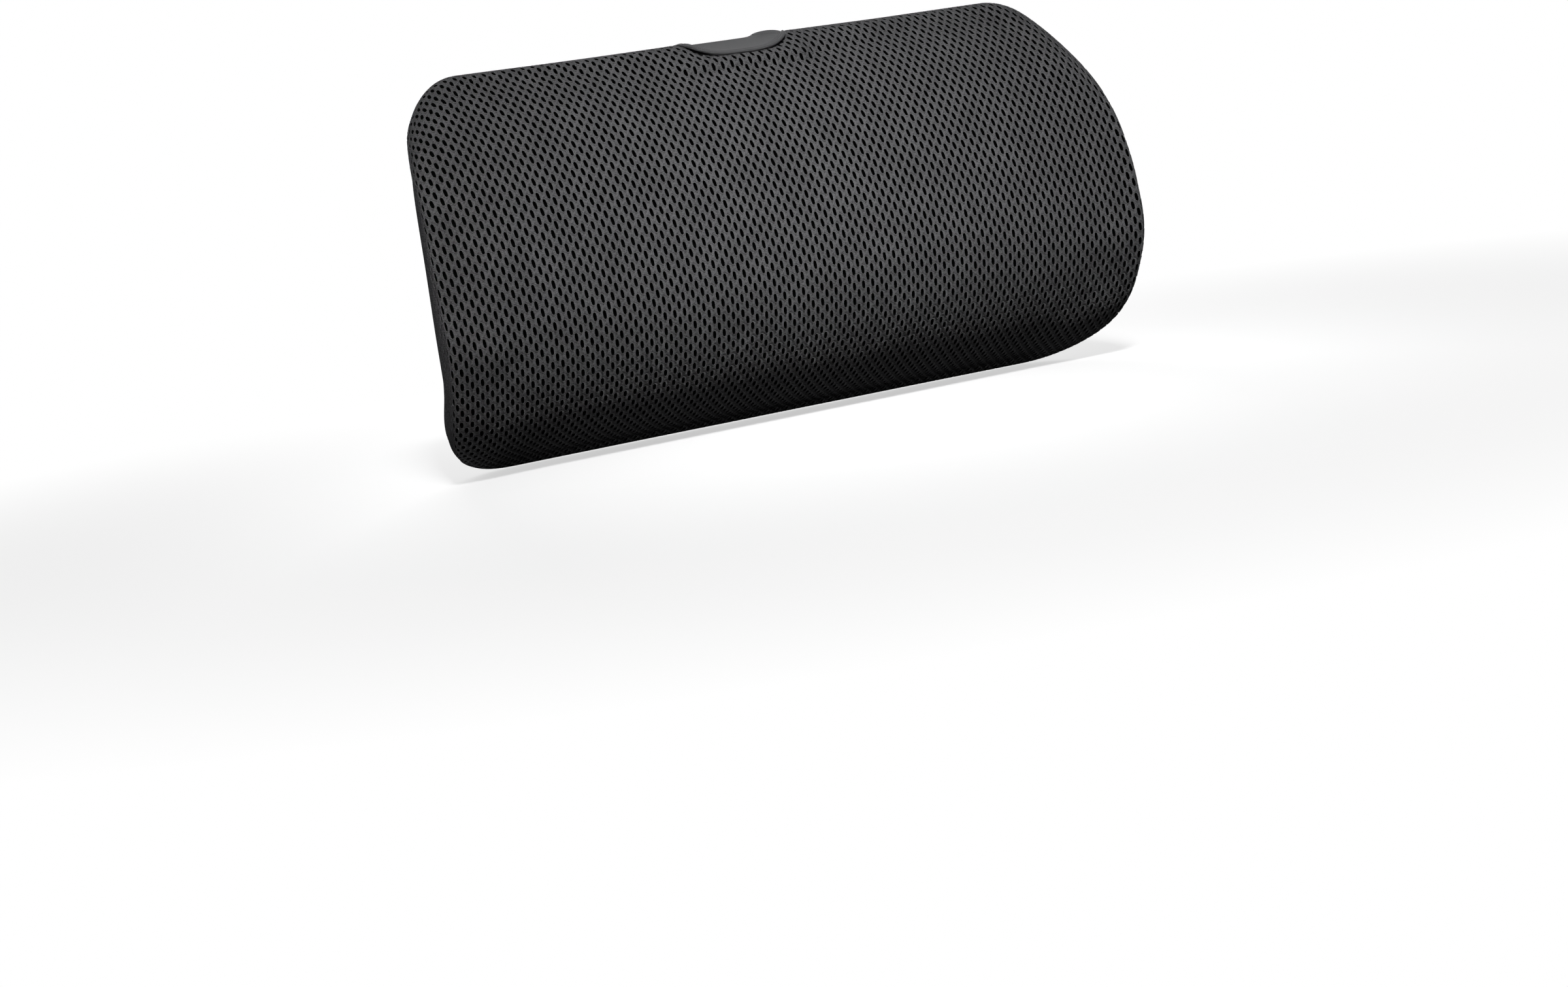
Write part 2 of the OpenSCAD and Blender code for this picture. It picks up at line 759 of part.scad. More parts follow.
// Grip: a tab folded over the flap's end.
tab_clear = 0.1;
tab_w = strap_w - 2 * tab_margin;
tab_t = strap_t + 2 * (tab_clear + tab_ply);
module flap_tab() {
    fold_z = flap_end - tab_lap + tab_l - tab_t / 2;
    color([0.12, 0.12, 0.12]) difference() {
        union() {
            block(
                [-tab_w / 2, flat_y - tab_t / 2, flap_end - tab_lap],
                [tab_w / 2, flat_y + tab_t / 2, fold_z]
            );
            rod_x(tab_t / 2, tab_w, flat_y, fold_z);
        }
        block(
            [-strap_w, flat_y - strap_t / 2 - tab_clear, flap_end - tab_lap - overrun],
            [strap_w, flat_y + strap_t / 2 + tab_clear, flap_end + tab_clear]
        );
    }
}

front_cover();
wadding_wrap();
foam_core();
back_wadding();
back_panel_upper();
back_panel_lower();
edge_welt();
zip_tape_upper();
zip_tape_lower();
zip_teeth_upper();
zip_teeth_lower();
zip_stops();
zip_slider();
zip_pull();
strap_binding();
strap_root();
strap_band();
loop_patch();
strap_flap();
hook_patch();
flap_tab();
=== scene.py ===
"""Looks of a strap-on headrest cushion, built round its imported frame, in metres.

The crown faces -Y, the flat back lies in y = 0 and Z runs up the backrest.
"""

import json
import logging
import math
from collections.abc import Callable, Iterable
from dataclasses import dataclass, field
from enum import Enum

import bmesh
import bpy
import numpy as np
from mathutils import Matrix, Vector


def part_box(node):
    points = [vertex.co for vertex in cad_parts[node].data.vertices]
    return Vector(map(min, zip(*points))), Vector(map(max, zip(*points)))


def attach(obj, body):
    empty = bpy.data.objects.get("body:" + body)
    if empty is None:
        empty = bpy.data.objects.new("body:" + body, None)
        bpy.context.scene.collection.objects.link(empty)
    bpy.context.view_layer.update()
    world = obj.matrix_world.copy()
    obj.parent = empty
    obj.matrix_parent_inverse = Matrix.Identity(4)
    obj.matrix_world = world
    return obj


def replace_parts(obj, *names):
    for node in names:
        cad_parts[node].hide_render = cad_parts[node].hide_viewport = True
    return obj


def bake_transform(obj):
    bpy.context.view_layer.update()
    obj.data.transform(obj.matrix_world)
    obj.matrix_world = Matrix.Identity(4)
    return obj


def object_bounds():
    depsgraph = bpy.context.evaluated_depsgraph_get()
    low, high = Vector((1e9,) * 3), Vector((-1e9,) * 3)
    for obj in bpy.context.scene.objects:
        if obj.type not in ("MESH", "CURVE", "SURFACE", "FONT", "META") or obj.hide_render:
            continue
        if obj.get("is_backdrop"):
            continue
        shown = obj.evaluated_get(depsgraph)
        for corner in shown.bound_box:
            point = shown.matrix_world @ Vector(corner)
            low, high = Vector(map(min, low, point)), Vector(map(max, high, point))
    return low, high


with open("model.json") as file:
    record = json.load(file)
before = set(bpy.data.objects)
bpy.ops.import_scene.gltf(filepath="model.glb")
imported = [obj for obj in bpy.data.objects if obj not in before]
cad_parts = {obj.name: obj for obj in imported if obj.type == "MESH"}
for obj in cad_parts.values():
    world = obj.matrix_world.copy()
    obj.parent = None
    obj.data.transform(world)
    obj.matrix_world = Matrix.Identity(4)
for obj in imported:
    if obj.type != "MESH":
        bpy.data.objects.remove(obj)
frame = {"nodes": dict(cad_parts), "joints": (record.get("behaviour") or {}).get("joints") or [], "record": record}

Array = np.ndarray
Socket = bpy.types.NodeSocket
BMesh = bmesh.types.BMesh
Pair = tuple[float, float]
Triple = tuple[float, float, float]

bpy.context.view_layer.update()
LOG = logging.getLogger("headrest")
MM = 0.001
WELD = 1e-6
LEVELS = 600
BAKE_MAP = "OFBake"
WEAVE_MAP = "weave"
RELIEF = "relief"
MESH_BAKE_H = 0.8
BACKING_BAKE = (0.83, 0.16)
NOISE_SPAN = (0.3, 0.7)
PILE_SCALE, FIBRE_SCALE, MOTTLE_SCALE, WEAR_SCALE = 1400, 2000, 55, 160
MOTTLE = (0.88, 1.12)
OUTLINE_STEPS = 400
IMAGE_W, IMAGE_H = 2400, 1510
SENSOR_MM = 36.0


class Side(Enum):
    """Which side of the zip line a piece lies on."""

    UPPER = 1
    LOWER = -1


class Grain(Enum):
    """What a cloth's surface is made of."""

    KNIT = "knit"
    WEAVE = "weave"
    RIBBON = "ribbon"
    PILE = "pile"


def joint_at(name: str) -> Vector:
    """Place of a joint's axis at rest."""
    return Vector(next(j["pos_m"] for j in frame["joints"] if j["name"] == name))


def mount_of(name: str) -> dict:
    """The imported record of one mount."""
    return next(m for m in frame["record"]["mounts"] if m["name"] == name)


def smooth_step(x: Array, low: float, high: float) -> Array:
    """Rise from 0 at low to 1 at high, level at both ends."""
    t = np.clip((x - low) / (high - low), 0, 1)
    return t * t * (3 - 2 * t)


def quarter(d: Array, w: float, square: float = 2.0) -> Array:
    """Share of a corner's height that is left at distance d into its width w; 2 is an ellipse."""
    return np.clip(1 - (np.clip(d, 0, w) / w) ** square, 0, 1) ** (1 / square)


def along_line(points: Array) -> Array:
    """Distance of each point from the first, measured along a line of points."""
    steps = np.linalg.norm(np.diff(points, axis=0), axis=1)
    return np.concatenate([[0.0], np.cumsum(steps)])


def walk(points: Array, shares: Array) -> Array:
    """Points at given shares of a line's length.

    Args:
        points: the line, one row per point.
        shares: places along it, from 0 to 1.

    Returns:
        One row per share.
    """
    run = along_line(points)
    at = np.asarray(shares) * run[-1]
    return np.stack([np.interp(at, run, points[:, k]) for k in range(points.shape[1])], 1)


def arc(centre: Pair, r: float, a0: float, a1: float, steps: int) -> Array:
    """Points of a circular arc.

    Args:
        centre: middle of the circle.
        r: its radius.
        a0: first angle, in degrees from the first axis.
        a1: last angle.
        steps: how many steps the arc has.

    Returns:
        One row of two coordinates per point.
    """
    a = np.radians(np.linspace(a0, a1, steps + 1))
    return np.stack([centre[0] + r * np.cos(a), centre[1] + r * np.sin(a)], 1)


class Graph:
    """Writes the node tree of one material."""

    def __init__(self, name: str) -> None:
        """Starts a material that holds one principled shader."""
        self.material = bpy.data.materials.new(name)
        self.material.use_nodes = True
        self.nodes = self.material.node_tree.nodes
        self.links = self.material.node_tree.links
        self.nodes.clear()
        self.shader = self.nodes.new("ShaderNodeBsdfPrincipled")
        output = self.nodes.new("ShaderNodeOutputMaterial")
        self.links.new(self.shader.outputs["BSDF"], output.inputs["Surface"])

    def put(self, socket: Socket, value: object) -> None:
        """Links a socket, or sets it where the value is plain."""
        if isinstance(value, Socket):
            self.links.new(value, socket)
        else:
            socket.default_value = value

    def set(self, **values: object) -> None:
        """Sets the shader's own sockets, named in lower case with underscores."""
        sockets = {s.name.lower().replace(" ", "_"): s for s in self.shader.inputs}
        for name, value in values.items():
            self.put(sockets[name], value)

    def math(self, operation: str, *values: object) -> Socket:
        """Output of one math node."""
        node = self.nodes.new("ShaderNodeMath")
        node.operation = operation
        for socket, value in zip(node.inputs, values):
            self.put(socket, value)
        return node.outputs[0]

    def weave_places(self) -> tuple[Socket, Socket]:
        """Places across and along the cloth, in millimetres."""
        node = self.nodes.new("ShaderNodeUVMap")
        node.uv_map = WEAVE_MAP
        split = self.nodes.new("ShaderNodeSeparateXYZ")
        self.links.new(node.outputs["UV"], split.inputs[0])
        return split.outputs[0], split.outputs[1]

    def attribute(self, name: str) -> Socket:
        """A number that the mesh carries at each vertex."""
        node = self.nodes.new("ShaderNodeAttribute")
        node.attribute_name = name
        return node.outputs["Fac"]

    def places(self) -> Socket:
        """Places on the object, in metres."""
        return self.nodes.new("ShaderNodeTexCoord").outputs["Object"]

    def noise(self, scale: float, detail: float = 2.0) -> Socket:
        """Soft noise on the object's own places."""
        node = self.nodes.new("ShaderNodeTexNoise")
        self.links.new(self.places(), node.inputs["Vector"])
        node.inputs["Scale"].default_value = scale
        node.inputs["Detail"].default_value = detail
        return node.outputs["Fac"]

    def stretch(self, value: object, low: float, high: float, to: Pair = (0, 1)) -> Socket:
        """Value carried from one range to another, held at both ends."""
        node = self.nodes.new("ShaderNodeMapRange")
        for name, x in zip(("From Min", "From Max", "To Min", "To Max"), (low, high, *to)):
            node.inputs[name].default_value = x
        self.put(node.inputs["Value"], value)
        return node.outputs["Result"]

    def grey(self, fac: object, dark: float, light: float, tint: Triple) -> Socket:
        """Colour between two shades of one tint."""
        node = self.nodes.new("ShaderNodeMix")
        node.data_type = "RGBA"
        self.put(node.inputs["Factor"], fac)
        colours = [s for s in node.inputs if s.type == "RGBA"]
        colours[0].default_value = (*(dark * c for c in tint), 1)
        colours[1].default_value = (*(light * c for c in tint), 1)
        return next(s for s in node.outputs if s.type == "RGBA")

    def bump(self, height: object, depth: float) -> Socket:
        """Normal of a relief of that depth, in metres."""
        node = self.nodes.new("ShaderNodeBump")
        node.inputs["Strength"].default_value = 1.0
        node.inputs["Distance"].default_value = depth
        self.put(node.inputs["Height"], height)
        return node.outputs["Normal"]

    def blend(self, a: object, b: object, share: float) -> Socket:
        """Sum of one value and a share of another, with the first weighted by what is left."""
        return self.math("ADD", self.math("MULTIPLY", a, 1 - share), self.math("MULTIPLY", b, share))


@dataclass(frozen=True)
class ClothFinish:
    """A textile: its shade, its grain and how deep the grain is.

    Attributes:
        name: the material's name.
        shade: reflectance of the yarn.
        grain: how the yarn lies.
        across: width of one rib or wale, in millimetres.
        along: length of one loop or pick, in millimetres.
        depth: depth of the grain, in metres.
        contrast: how much darker the grooves are.
        sheen: share of fuzz that catches light at a slant.
        rough: roughness of the surface.
        fuzz: share of stray fibres in the grain.
        groove_painted_shade: painted shade: share of the yarn colour left in the mesh's low places, so its grooves
            and holes look shaded.
        tint: warmth of the grey.
        leg_lean: how far a knitted loop's legs lean, as a share of its length.
        pick_share: weight of the picks against the ribs in a ribbon.
    """

    name: str
    shade: float
    grain: Grain
    across: float = 0.76
    along: float = 0.95
    depth: float = 0.0003
    contrast: float = 0.55
    sheen: float = 0.25
    rough: float = 0.85
    fuzz: float = 0.25
    groove_painted_shade: float = 1.0
    tint: Triple = (1.0, 1.0, 1.03)
    leg_lean: float = 0.55
    pick_share: float = 0.65

    def relief(self, g: Graph) -> Socket:
        """Height of the grain, from 0 to 1."""
        if self.grain is Grain.PILE:
            return g.stretch(g.noise(PILE_SCALE, 3), *NOISE_SPAN)
        u, v = g.weave_places()
        rib = g.math("DIVIDE", g.math("PINGPONG", u, self.across / 2), self.across / 2)
        loops = g.math("DIVIDE", v, self.along)
        if self.grain is Grain.KNIT:
            turn = g.math("ADD", loops, g.math("MULTIPLY", rib, self.leg_lean))
            wave = g.math("SINE", g.math("MULTIPLY", turn, math.tau))
            return g.blend(rib, g.math("ADD", g.math("MULTIPLY", wave, 0.5), 0.5), 0.5)
        pick = g.math("DIVIDE", g.math("PINGPONG", v, self.along / 2), self.along / 2)
        if self.grain is Grain.RIBBON:
            return g.blend(rib, pick, self.pick_share)
        wales = g.math("DIVIDE", u, self.across)
        turn = g.math("ADD", g.math("FLOOR", wales), g.math("FLOOR", loops))
        over = g.math("MODULO", turn, 2.0)
        under = g.math("SUBTRACT", 1.0, over)
        return g.math("ADD", g.math("MULTIPLY", rib, over), g.math("MULTIPLY", pick, under))

    def build(self) -> bpy.types.Material:
        """The finished material."""
        g = Graph(self.name)
        relief = self.relief(g)
        mottle = g.stretch(g.noise(MOTTLE_SCALE, 4), *NOISE_SPAN, MOTTLE)
        fibre = g.stretch(g.noise(FIBRE_SCALE, 2), *NOISE_SPAN)
        tone = g.math("MULTIPLY", g.blend(relief, fibre, self.fuzz), mottle)
        # Painted shade: the colour is darkened where the mesh's relief is low, in its grooves and holes, as though
        # shaded there.
        if self.groove_painted_shade < 1:
            tone = g.math("MULTIPLY", tone, g.stretch(g.attribute(RELIEF), -0.5, 0.6, (self.groove_painted_shade, 1)))
        light = self.shade * (1 + self.contrast / 2)
        g.set(
            base_color=g.grey(tone, light * (1 - self.contrast), light, self.tint),
            roughness=self.rough,
            specular_ior_level=self.sheen,
            sheen_weight=self.sheen,
            sheen_roughness=0.4,
            sheen_tint=(0.5, 0.5, 0.52, 1),
        )
        g.set(normal=g.bump(g.blend(relief, fibre, 0.2), self.depth))
        return g.material


@dataclass(frozen=True)
class SolidFinish:
    """A moulded or painted solid with worn places and fine grain.

    Attributes:
        name: the material's name.
        shade: reflectance of the surface.
        rough: its roughness.
        metallic: share that shines like metal.
        grain: scale of the fine grain.
        depth: depth of the grain, in metres.
        worn: how much lighter the worn places are.
    """

    name: str
    shade: float
    rough: float
    metallic: float = 0.0
    grain: float = 900.0
    depth: float = 0.00006
    worn: float = 1.6

    def build(self) -> bpy.types.Material:
        """The finished material."""
        g = Graph(self.name)
        grain = g.noise(self.grain, 4)
        wear = g.stretch(g.noise(WEAR_SCALE, 3), 0.45, 0.75)
        g.set(
            base_color=g.grey(wear, self.shade, self.shade * self.worn, (1.0, 1.0, 1.02)),
            roughness=g.stretch(grain, *NOISE_SPAN, (self.rough - 0.08, self.rough + 0.1)),
            metallic=self.metallic,
            specular_ior_level=0.5,
            normal=g.bump(grain, self.depth),
        )
        return g.material


@dataclass(frozen=True)
class FillFinish:
    """Wadding or foam: pale, open and soft.

    Attributes:
        name: the material's name.
        colour: its colour.
        cell: scale of its cells.
    """

    name: str
    colour: Triple
    cell: float

    def build(self) -> bpy.types.Material:
        """The finished material."""
        g = Graph(self.name)
        cells = g.noise(self.cell, 5)
        g.set(
            base_color=g.grey(g.stretch(cells, *NOISE_SPAN), 0.8, 1.05, self.colour),
            roughness=0.95,
            specular_ior_level=0.1,
            sheen_weight=0.3,
            normal=g.bump(cells, 0.0008),
        )
        return g.material


class Finishes(Enum):
    """Every finish on the object, by the record's material slot."""

    # The spacer mesh's colour is darkened in its low places as painted shade.
    spacer_mesh = ClothFinish(
        "spacer_mesh_knit", 0.1, Grain.KNIT, contrast=0.9, depth=0.0003, sheen=0.0, fuzz=0.5, groove_painted_shade=0.3
    )
    # Painted shade: a near-black back sheet and hole walls stand in for the shade inside the mesh's holes.
    backing = ClothFinish("spacer_mesh_backing", 0.002, Grain.PILE, depth=0.0004, sheen=0.0)
    seam_lip = ClothFinish("seam_lip_knit", 0.06, Grain.KNIT, across=0.9, along=1.1, sheen=0.2)
    woven_back = ClothFinish(
        "plain_woven_back", 0.03, Grain.WEAVE, across=0.7, along=0.7, depth=0.0002, sheen=0.1
    )
    elastic = ClothFinish(
        "ribbed_elastic", 0.042, Grain.RIBBON, across=1.44, along=0.6, depth=0.00015, contrast=0.35
    )
    zip_tape = ClothFinish(
        "zip_tape_ribbon", 0.02, Grain.RIBBON, across=0.8, along=0.5, depth=0.00012, sheen=0.1
    )
    grip_tab = ClothFinish("grip_ribbon", 0.03, Grain.RIBBON, across=1.2, along=0.7, depth=0.0002, sheen=0.15)
    loop_pile = ClothFinish("loop_pile", 0.02, Grain.PILE, depth=0.0009, sheen=0.35)
    hook_tape = ClothFinish(
        "hook_tape", 0.015, Grain.WEAVE, across=1.3, along=1.3, depth=0.0004, sheen=0.0, rough=0.6
    )
    thread = ClothFinish("sewing_thread", 0.05, Grain.PILE, depth=0.0001, sheen=0.2)
    zip_teeth = SolidFinish("moulded_teeth", 0.018, 0.45)
    zip_metal = SolidFinish("black_painted_metal", 0.045, 0.38, metallic=0.35, worn=2.2)
    wadding = FillFinish("white_wadding", (0.8, 0.8, 0.77), 320.0)
    foam = FillFinish("open_foam", (0.72, 0.68, 0.55), 520.0)

    def material(self) -> bpy.types.Material:
        """The finish's material, made when it is first asked for."""
        return bpy.data.materials.get(self.value.name) or self.value.build()


@dataclass
class Piece:
    """A piece of the object while it is being made.

    Attributes:
        name: the piece's name.
        bm: its mesh.
        finish: what it wears.
        slot: the record's material slot, where that isn't the finish's own name; not used.
    """

    name: str
    bm: BMesh
    finish: Finishes
    slot: str = ""

    def dress(self, smooth: bool = True) -> bpy.types.Object:
        """Turns the mesh into an object that wears its finish.

        Args:
            smooth: whether its faces are shaded smooth.

        Returns:
            The object, linked to the scene.
        """
        data = bpy.data.meshes.new(self.name)
        self.bm.to_mesh(data)
        self.bm.free()
        data.materials.append(self.finish.material())
        for face in data.polygons:
            face.use_smooth = smooth
        made = bpy.data.objects.new(self.name, data)
        bpy.context.scene.collection.objects.link(made)
        LOG.info("%s: %d faces", self.name, len(data.polygons))
        return made


def patch(columns: int, rows: int, place: Callable, size: Pair, merge: float = 0.0) -> BMesh:
    """A sheet of quads that is laid where a rule puts it.

    Args:
        columns: quads across.
        rows: quads along.
        place: takes two arrays of shares, across and along, and gives their points.
        size: real width and length, in metres, for the cloth's own map.
        merge: distance within which the sheet's edges close on each other.

    Returns:
        The sheet, with its maps.
    """
    bm = bmesh.new()
    bmesh.ops.create_grid(bm, x_segments=columns, y_segments=rows, size=0.5)
    share = np.array([v.co[:2] for v in bm.verts]) + 0.5
    bake = bm.loops.layers.uv.new(BAKE_MAP)
    weave = bm.loops.layers.uv.new(WEAVE_MAP)
    bm.verts.index_update()
    for face in bm.faces:
        for loop in face.loops:
            u, v = share[loop.vert.index]
            loop[bake].uv = (u, v)
            loop[weave].uv = (u * size[0] / MM, v * size[1] / MM)
    for vert, point in zip(bm.verts, place(share[:, 0], share[:, 1])):
        vert.co = point
    if merge:
        bmesh.ops.remove_doubles(bm, verts=bm.verts, dist=merge)
    return bm


def close_ends(bm: BMesh) -> None:
    """Caps the open ends of a tube and turns all faces outwards."""
    rim = [e for e in bm.edges if e.is_boundary]
    bmesh.ops.holes_fill(bm, edges=rim, sides=0)
    bmesh.ops.recalc_face_normals(bm, faces=bm.faces)


def join(bm: BMesh, other: BMesh) -> None:
    """Adds another mesh to a mesh, and frees the other."""
    kept = bpy.data.meshes.new("joined")
    other.to_mesh(kept)
    other.free()
    bm.from_mesh(kept)
    bpy.data.meshes.remove(kept)


def thicken(bm: BMesh, thickness: float) -> None:
    """Gives a sheet that faces the backrest a thickness."""
    bmesh.ops.recalc_face_normals(bm, faces=bm.faces)
    if sum(f.normal.y for f in bm.faces) < 0:
        bmesh.ops.reverse_faces(bm, faces=bm.faces)
    bmesh.ops.solidify(bm, geom=bm.faces[:], thickness=thickness)
    bmesh.ops.recalc_face_normals(bm, faces=bm.faces)


def cut_window(bm: BMesh, half_w: float, half_h: float, z: float) -> None:
    """Cuts an upright window at a height, in the middle of a sheet."""
    middles = {f: f.calc_center_median() for f in bm.faces}
    inside = [f for f, at in middles.items() if abs(at.x) < half_w and abs(at.z - z) < half_h]
    bmesh.ops.delete(bm, geom=inside, context="FACES")


def round_strip(u: Array) -> tuple[Array, Array]:
    """Place across a strip from -1 to 1, and its face, for shares round its section."""
    upper = u < 0.5
    return np.where(upper, 4 * u - 1, 3 - 4 * u), np.where(upper, 1, -1)


def line_frame(line: Array, share: Array, near: float) -> tuple[Array, Array]:
    """Points and outward ways along a line in Y and Z.

    Args:
        line: its points.
        share: places along it, from 0 to 1.
        near: share of the line over which its direction is taken.

    Returns:
        One row per share: points, then ways.
    """
    step = walk(line, np.clip(share + near, 0, 1)) - walk(line, np.clip(share - near, 0, 1))
    step /= np.linalg.norm(step, axis=1)[:, None]
    return walk(line, share), np.stack([-step[:, 1], step[:, 0]], 1)


def tube(path: Array, radius: Callable, sides: int, closed: bool) -> BMesh:
    """A round tube along a path.

    Args:
        path: the points it follows, evenly spaced.
        radius: takes shares of the length and gives radii.
        sides: facets round it.
        closed: whether the path runs back to its start.

    Returns:
        The tube, closed.
    """
    ahead = np.roll(path, -1, 0) - np.roll(path, 1, 0)
    if not closed:
        ahead[0], ahead[-1] = path[1] - path[0], path[-1] - path[-2]
    ahead /= np.linalg.norm(ahead, axis=1)[:, None]
    side = np.cross(ahead, (0.0, 1.0, 0.0))
    side /= np.linalg.norm(side, axis=1)[:, None]
    lift = np.cross(side, ahead)
    steps = len(path) if closed else len(path) - 1

    def place(u: Array, v: Array) -> Array:
        """Points round the path."""
        i = np.rint(v * steps).astype(int) % len(path)
        a, r = u * math.tau, radius(v)
        return path[i] + (r * np.cos(a))[:, None] * side[i] + (r * np.sin(a))[:, None] * lift[i]

    girth = math.tau * float(radius(np.array([0.5]))[0])
    bm = patch(sides, steps, place, (girth, along_line(path)[-1]), WELD)
    close_ends(bm)
    return bm


@dataclass
class CushionForm:
    """Shape of the cover: a section carried across the width, with its ends drawn in at the back.

    Attributes:
        width: width before the ends are drawn in.
        upper: height of the top above the crown line.
        front_r: radius of the upper front.
        shoulder_r: radius between front and top.
        top_r: radius of the nearly flat top.
        end_r: length of the rounded end, seen from above.
        draw_in: how far each end of the back is drawn in.
        top_corner: width and height of the top corners.
        bottom_corner: width and height of the bottom corners.
        squareness: how square the top and bottom corners are; 2 is an ellipse.
        belly: how far each end bulges at the crown line.
        pinches: how much more the ends are drawn in near some heights, those heights and their spreads.
        scoop: width and depth of the opening for the strap.
        scoop_square: how square its trough is; 2 is a parabola.
        gap: clearance between the cover and the elastic in the scoop.
        gather: how late the end's rows turn to a fan.
        depth: depth of the crown.
        lower: height of the crown line above the bottom.
        rim: depth at which the cover starts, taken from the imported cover.
    """

    width: float = 0.451
    upper: float = 0.129
    front_r: float = 0.1506
    shoulder_r: float = 0.025
    top_r: float = 0.360
    end_r: float = 0.0095
    draw_in: float = 0.0330
    top_corner: Pair = (0.0485, 0.0598)
    bottom_corner: Pair = (0.0515, 0.0243)
    squareness: Pair = (2.07, 3.15)
    belly: float = 0.0006
    pinches: tuple[Triple, ...] = ((0.0066, 0.0287, 0.0427), (-0.008, -0.066, 0.022))
    scoop: Pair = (0.066, 0.0097)
    scoop_square: float = 3.3
    gap: float = 0.0003
    gather: float = 1.5
    depth: float = 0.1085
    lower: float = 0.0940
    rim: float = field(init=False)

    def __post_init__(self) -> None:
        """Takes the top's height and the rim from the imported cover."""
        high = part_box("front_cover")[1]
        self.rim, self.crown_z = -high.y, high.z - self.upper
        self.half = self.width / 2
        self.line = self.section()
        self.run = along_line(self.line)
        self.girth = self.run[-1]
        turn = np.linspace(0, math.pi / 2, 240)
        x = self.half - self.end_r + self.end_r * np.sin(turn)
        plan = np.stack([self.drawn(x, np.cos(turn), 0 * x), np.cos(turn) * (self.depth - self.rim)], 1)
        self.end_turn, self.end_run = turn, along_line(plan)
        self.flat_half = self.half - self.end_r
        self.reach = self.flat_half + self.end_run[-1]
        self.seam_z = self.upper - self.scoop[1]
        self.seam_f = float(self.deep(self.shoulder_depth(self.seam_z)))

    def section(self, steps: int = 60) -> Array:
        """Depth and height above the crown line, from the top's back edge round to the bottom's."""
        span = self.front_r - self.shoulder_r
        lean = math.asin((self.upper - self.shoulder_r) / span)
        self.shoulder = (self.depth - self.front_r + span * math.cos(lean), span * math.sin(lean))
        back = 90 + math.degrees(math.asin(self.shoulder[0] / self.top_r))
        bottom = arc((0, 0), 1.0, 0, -90, 2 * steps) * (self.depth, self.lower)
        runs = [
            arc((self.shoulder[0], self.upper - self.top_r), self.top_r, back, 90, steps)[:-1],
            arc(self.shoulder, self.shoulder_r, 90, math.degrees(lean), steps)[:-1],
            arc((self.depth - self.front_r, 0), self.front_r, math.degrees(lean), 0, steps)[:-1],
            bottom,
        ]
        return np.concatenate(runs)

    def shoulder_depth(self, z: Array) -> Array:
        """Depth of the section's shoulder at a height above the crown line."""
        fall = np.clip(self.shoulder_r**2 - (z - self.shoulder[1]) ** 2, 0, None)
        return self.shoulder[0] + np.sqrt(fall)

    def deep(self, d: Array) -> Array:
        """Depth in the section, drawn up between rim and crown."""
        return self.rim + d * (self.depth - self.rim) / self.depth

    def drawn(self, x: Array, forward: Array, rise: Array, inset: float = 0.0) -> Array:
        """Width x after the ends are drawn in.

        Args:
            x: width, on the right half.
            forward: 0 at the back and 1 at the crown.
            rise: height above the crown line.
            inset: how far the line lies inside the edge.

        Returns:
            The drawn-in width.
        """
        tight = self.draw_in
        for size, level, spread in self.pinches:
            tight = tight + size * np.exp(-(((rise - level) / spread) ** 2))
        return x - tight * (x / (self.half - inset)) ** 3 * np.clip(1 - forward, 0, 1) ** 1.5

    def strap_line(self, f: Array) -> Array:
        """Height of the elastic above the crown line at depth f."""
        return self.seam_z + self.scoop[1] * (1 - f / self.seam_f)

    def channel(self, x: Array) -> Array:
        """Share of the scoop's depth at width x."""
        return np.clip(1 - np.abs(2 * x / self.scoop[0]) ** self.scoop_square, 0, None)

    def surface(self, s: Array, t: Array) -> Array:
        """Points of the cover.

        Args:
            s: distance from the middle, along the crown and round the ends.
            t: distance from the top's back edge, round the section.

        Returns:
            One row per place.
        """
        turn = np.interp(np.abs(s) - self.flat_half, self.end_run, self.end_turn)
        beyond = np.abs(s) > self.flat_half
        x = np.where(beyond, self.flat_half + self.end_r * np.sin(turn), np.abs(s))
        share = np.where(beyond, np.cos(turn), 1.0)
        p0 = np.clip(np.interp(t, self.run, self.line[:, 0]), 0, None)
        p1 = np.interp(t, self.run, self.line[:, 1])
        forward = p0 / self.depth * share
        top = self.corner(x, self.upper, self.top_corner, self.squareness[0])
        bottom = self.corner(x, self.lower, self.bottom_corner, self.squareness[1])
        f = self.deep(p0)
        over = np.clip(p1 - self.strap_line(f) + self.gap, 0, None)
        dip = np.where(f > self.seam_f, 0, over) * self.channel(x)
        spread = np.where(p1 > 0, (p1 - dip) * top / self.upper, p1 * bottom / self.lower)
        back_top = self.line[0, 1] / self.upper
        fan = np.where(p1 > 0, back_top * top, bottom) * p1 / np.hypot(p0, p1)
        weight = (1 - share) ** self.gather
        rise = spread * (1 - weight) + fan * weight
        y = -self.rim - forward * (self.depth - self.rim)
        out = self.bulge(x, rise / np.where(rise > 0, self.upper, self.lower))
        return np.stack([np.sign(s) * (self.drawn(x, forward, rise) + out), y, self.crown_z + rise], 1)

    def bulge(self, x: Array, level: Array) -> Array:
        """How far an end bulges at width x, at a share of the height from the crown line."""
        return self.belly * (x / self.half) ** 6 * np.cos(math.pi / 2 * level)

    def corner(self, x: Array, full: float, size: Pair, square: float) -> Array:
        """Height of the top or bottom at width x, with its corner taken off."""
        return full - size[1] * (1 - quarter(x - self.half + size[0], size[0], square))

